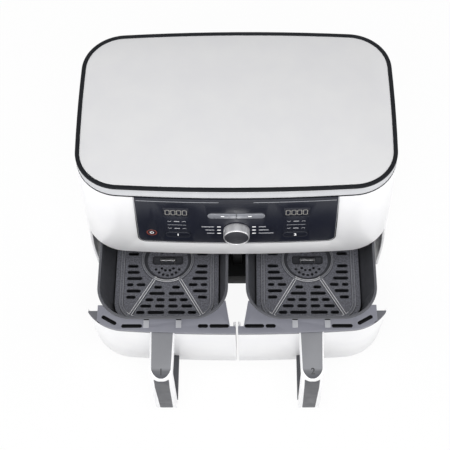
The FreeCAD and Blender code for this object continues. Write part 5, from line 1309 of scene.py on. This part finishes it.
@dataclass
class Studio:
    """White sweep, soft lamps and world light, in metres.

    Attributes:
        floor_reach: Half the floor's width.
        floor_light: Share of the floor that glows, as a sweep lit from below does.
        floor_white: Share of the floor that the camera sees as plain white, the rest showing the shadow.
        world: Strength of the light from all round.
        key_place: Place of the lamp over the front.
        key_size: Side of its face.
        key_power: Its light in watts.
        side_place: Place of the lamp on the right. The left one mirrors it.
        side_size: Side of its face.
        side_power: Its light in watts.
        aim: Point that the lamps look at.
    """

    floor_reach: float = 6.0
    floor_light: float = 0.3
    floor_white: float = 0.93
    world: float = 0.5
    key_place: Triple = (0.0, -1.52, 2.62)
    key_size: float = 1.5
    key_power: float = 46.0
    side_place: Triple = (2.4, -0.4, 1.0)
    side_size: float = 1.6
    side_power: float = 16.0
    aim: Triple = (0.0, 0.0, 0.15)

    def build(self) -> None:
        """Lay the floor, hang the lamps and set the world."""
        self.lay_floor()
        self.light_world()
        self.hang_lamp("key_lamp", Vector(self.key_place), self.key_size, self.key_power)
        for name, sign in (("left_lamp", -1), ("right_lamp", 1)):
            place = Vector((sign * self.side_place[0], *self.side_place[1:]))
            self.hang_lamp(name, place, self.side_size, self.side_power)

    def lay_floor(self) -> None:
        """Lay a plain pale floor that keeps the shadow."""
        shape = bmesh.new()
        bmesh.ops.create_grid(shape, x_segments=2, y_segments=2, size=self.floor_reach)
        mesh = bpy.data.meshes.new("floor")
        shape.to_mesh(mesh)
        shape.free()
        floor = bpy.data.objects.new("floor", mesh)
        bpy.context.scene.collection.objects.link(floor)
        # Paper sweep: white, matt and lit from below.
        paper = bpy.data.materials.new("white_paper_sweep")
        tree = fresh_tree(paper)
        matt = add_node(tree, "ShaderNodeBsdfDiffuse", {"Color": linear("#F2F2F2")})
        white = add_node(tree, "ShaderNodeEmission", {"Color": linear("#FFFFFF"), "Strength": 1.0})
        seen = add_node(tree, "ShaderNodeLightPath")
        share = add_node(
            tree,
            "ShaderNodeMapRange",
            {"Value": seen.outputs["Is Camera Ray"], "To Min": self.floor_light, "To Max": self.floor_white},
        )
        both = add_node(
            tree,
            "ShaderNodeMixShader",
            {0: share.outputs["Result"], 1: matt.outputs["BSDF"], 2: white.outputs["Emission"]},
        )
        add_node(tree, "ShaderNodeOutputMaterial", {"Surface": both.outputs["Shader"]})
        mesh.materials.append(paper)

    def light_world(self) -> None:
        """Fill the world with plain light, white to the camera and in reflections."""
        world = bpy.data.worlds.new("studio")
        bpy.context.scene.world = world
        tree = fresh_tree(world)
        seen = add_node(tree, "ShaderNodeLightPath")
        shown = add_node(
            tree,
            "ShaderNodeMath",
            {0: seen.outputs["Is Camera Ray"], 1: seen.outputs["Is Glossy Ray"]},
            operation="MAXIMUM",
        )
        strength = add_node(
            tree,
            "ShaderNodeMapRange",
            {"Value": shown.outputs["Value"], "To Min": self.world, "To Max": 1.0},
        )
        light = add_node(
            tree,
            "ShaderNodeBackground",
            {"Color": linear("#FFFFFF"), "Strength": strength.outputs["Result"]},
        )
        add_node(tree, "ShaderNodeOutputWorld", {"Surface": light.outputs["Background"]})

    def hang_lamp(self, name: str, place: Vector, size: float, power: float) -> None:
        """Hang a square soft lamp that looks at the object.

        Args:
            name: Name of the lamp.
            place: Where it hangs.
            size: Side of its face.
            power: Its light in watts.
        """
        lamp = bpy.data.lights.new(name, "AREA")
        lamp.size = size
        lamp.energy = power
        holder = bpy.data.objects.new(name, lamp)
        bpy.context.scene.collection.objects.link(holder)
        holder.location = place
        ahead = Vector(self.aim) - place
        holder.rotation_euler = ahead.to_track_quat("-Z", "Y").to_euler()


@dataclass
class PhotoCamera:
    """Camera that stands where the picture was taken.

    Attributes:
        place: Where it stands, in metres.
        pitch_deg: How far it looks down.
        yaw_deg: How far it looks to the right.
        roll_deg: How far it leans.
        focal_px: Focal length in pixels of the picture.
        frame_px: Width of the picture.
        sensor: Width of the sensor, in millimetres.
        nearest: Distance at which it starts to see, in metres.
    """

    place: Triple = (0.01559, -0.91923, 1.6578)
    pitch_deg: float = 58.21
    yaw_deg: float = -1.99
    roll_deg: float = -1.85
    focal_px: float = 1288.23
    frame_px: float = 450.0
    sensor: float = 36.0
    nearest: float = 0.05

    def build(self) -> None:
        """Set up the camera and make it the scene's own."""
        pitch, yaw, roll = (math.radians(turn) for turn in (self.pitch_deg, self.yaw_deg, self.roll_deg))
        run = math.cos(pitch)
        ahead = Vector((math.sin(yaw) * run, math.cos(yaw) * run, -math.sin(pitch)))
        level = Vector((math.cos(yaw), -math.sin(yaw), 0.0))
        above = level.cross(ahead)
        across = level * math.cos(roll) + above * math.sin(roll)
        up = above * math.cos(roll) - level * math.sin(roll)
        lens = bpy.data.cameras.new("photo_camera")
        lens.sensor_width = self.sensor
        lens.lens = self.focal_px / self.frame_px * self.sensor
        lens.clip_start = self.nearest
        camera = bpy.data.objects.new("photo_camera", lens)
        bpy.context.scene.collection.objects.link(camera)
        turn = Matrix((across, up, -ahead)).transposed().to_4x4()
        camera.matrix_world = Matrix.Translation(self.place) @ turn
        bpy.context.scene.camera = camera


def main() -> None:
    """Build every assembly, the studio and the camera."""
    logging.basicConfig(level=logging.INFO, format="%(name)s: %(message)s")
    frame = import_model()
    bpy.context.scene.view_settings.view_transform = "Standard"
    PhotoCamera().build()
    Studio().build()
    Housing(frame).build()
    ControlPanel(frame).build()
    Drawer(frame).build()
    Drawer(
        frame,
        side="right",
        numeral="2",
        numeral_place=(96.9, -215.6),
        clips=(96.5, -143.6, 21.0),
        dish=(98.0, -7.1),
    ).build()
    Works(frame).build()


if __name__ == "__main__":
    main()
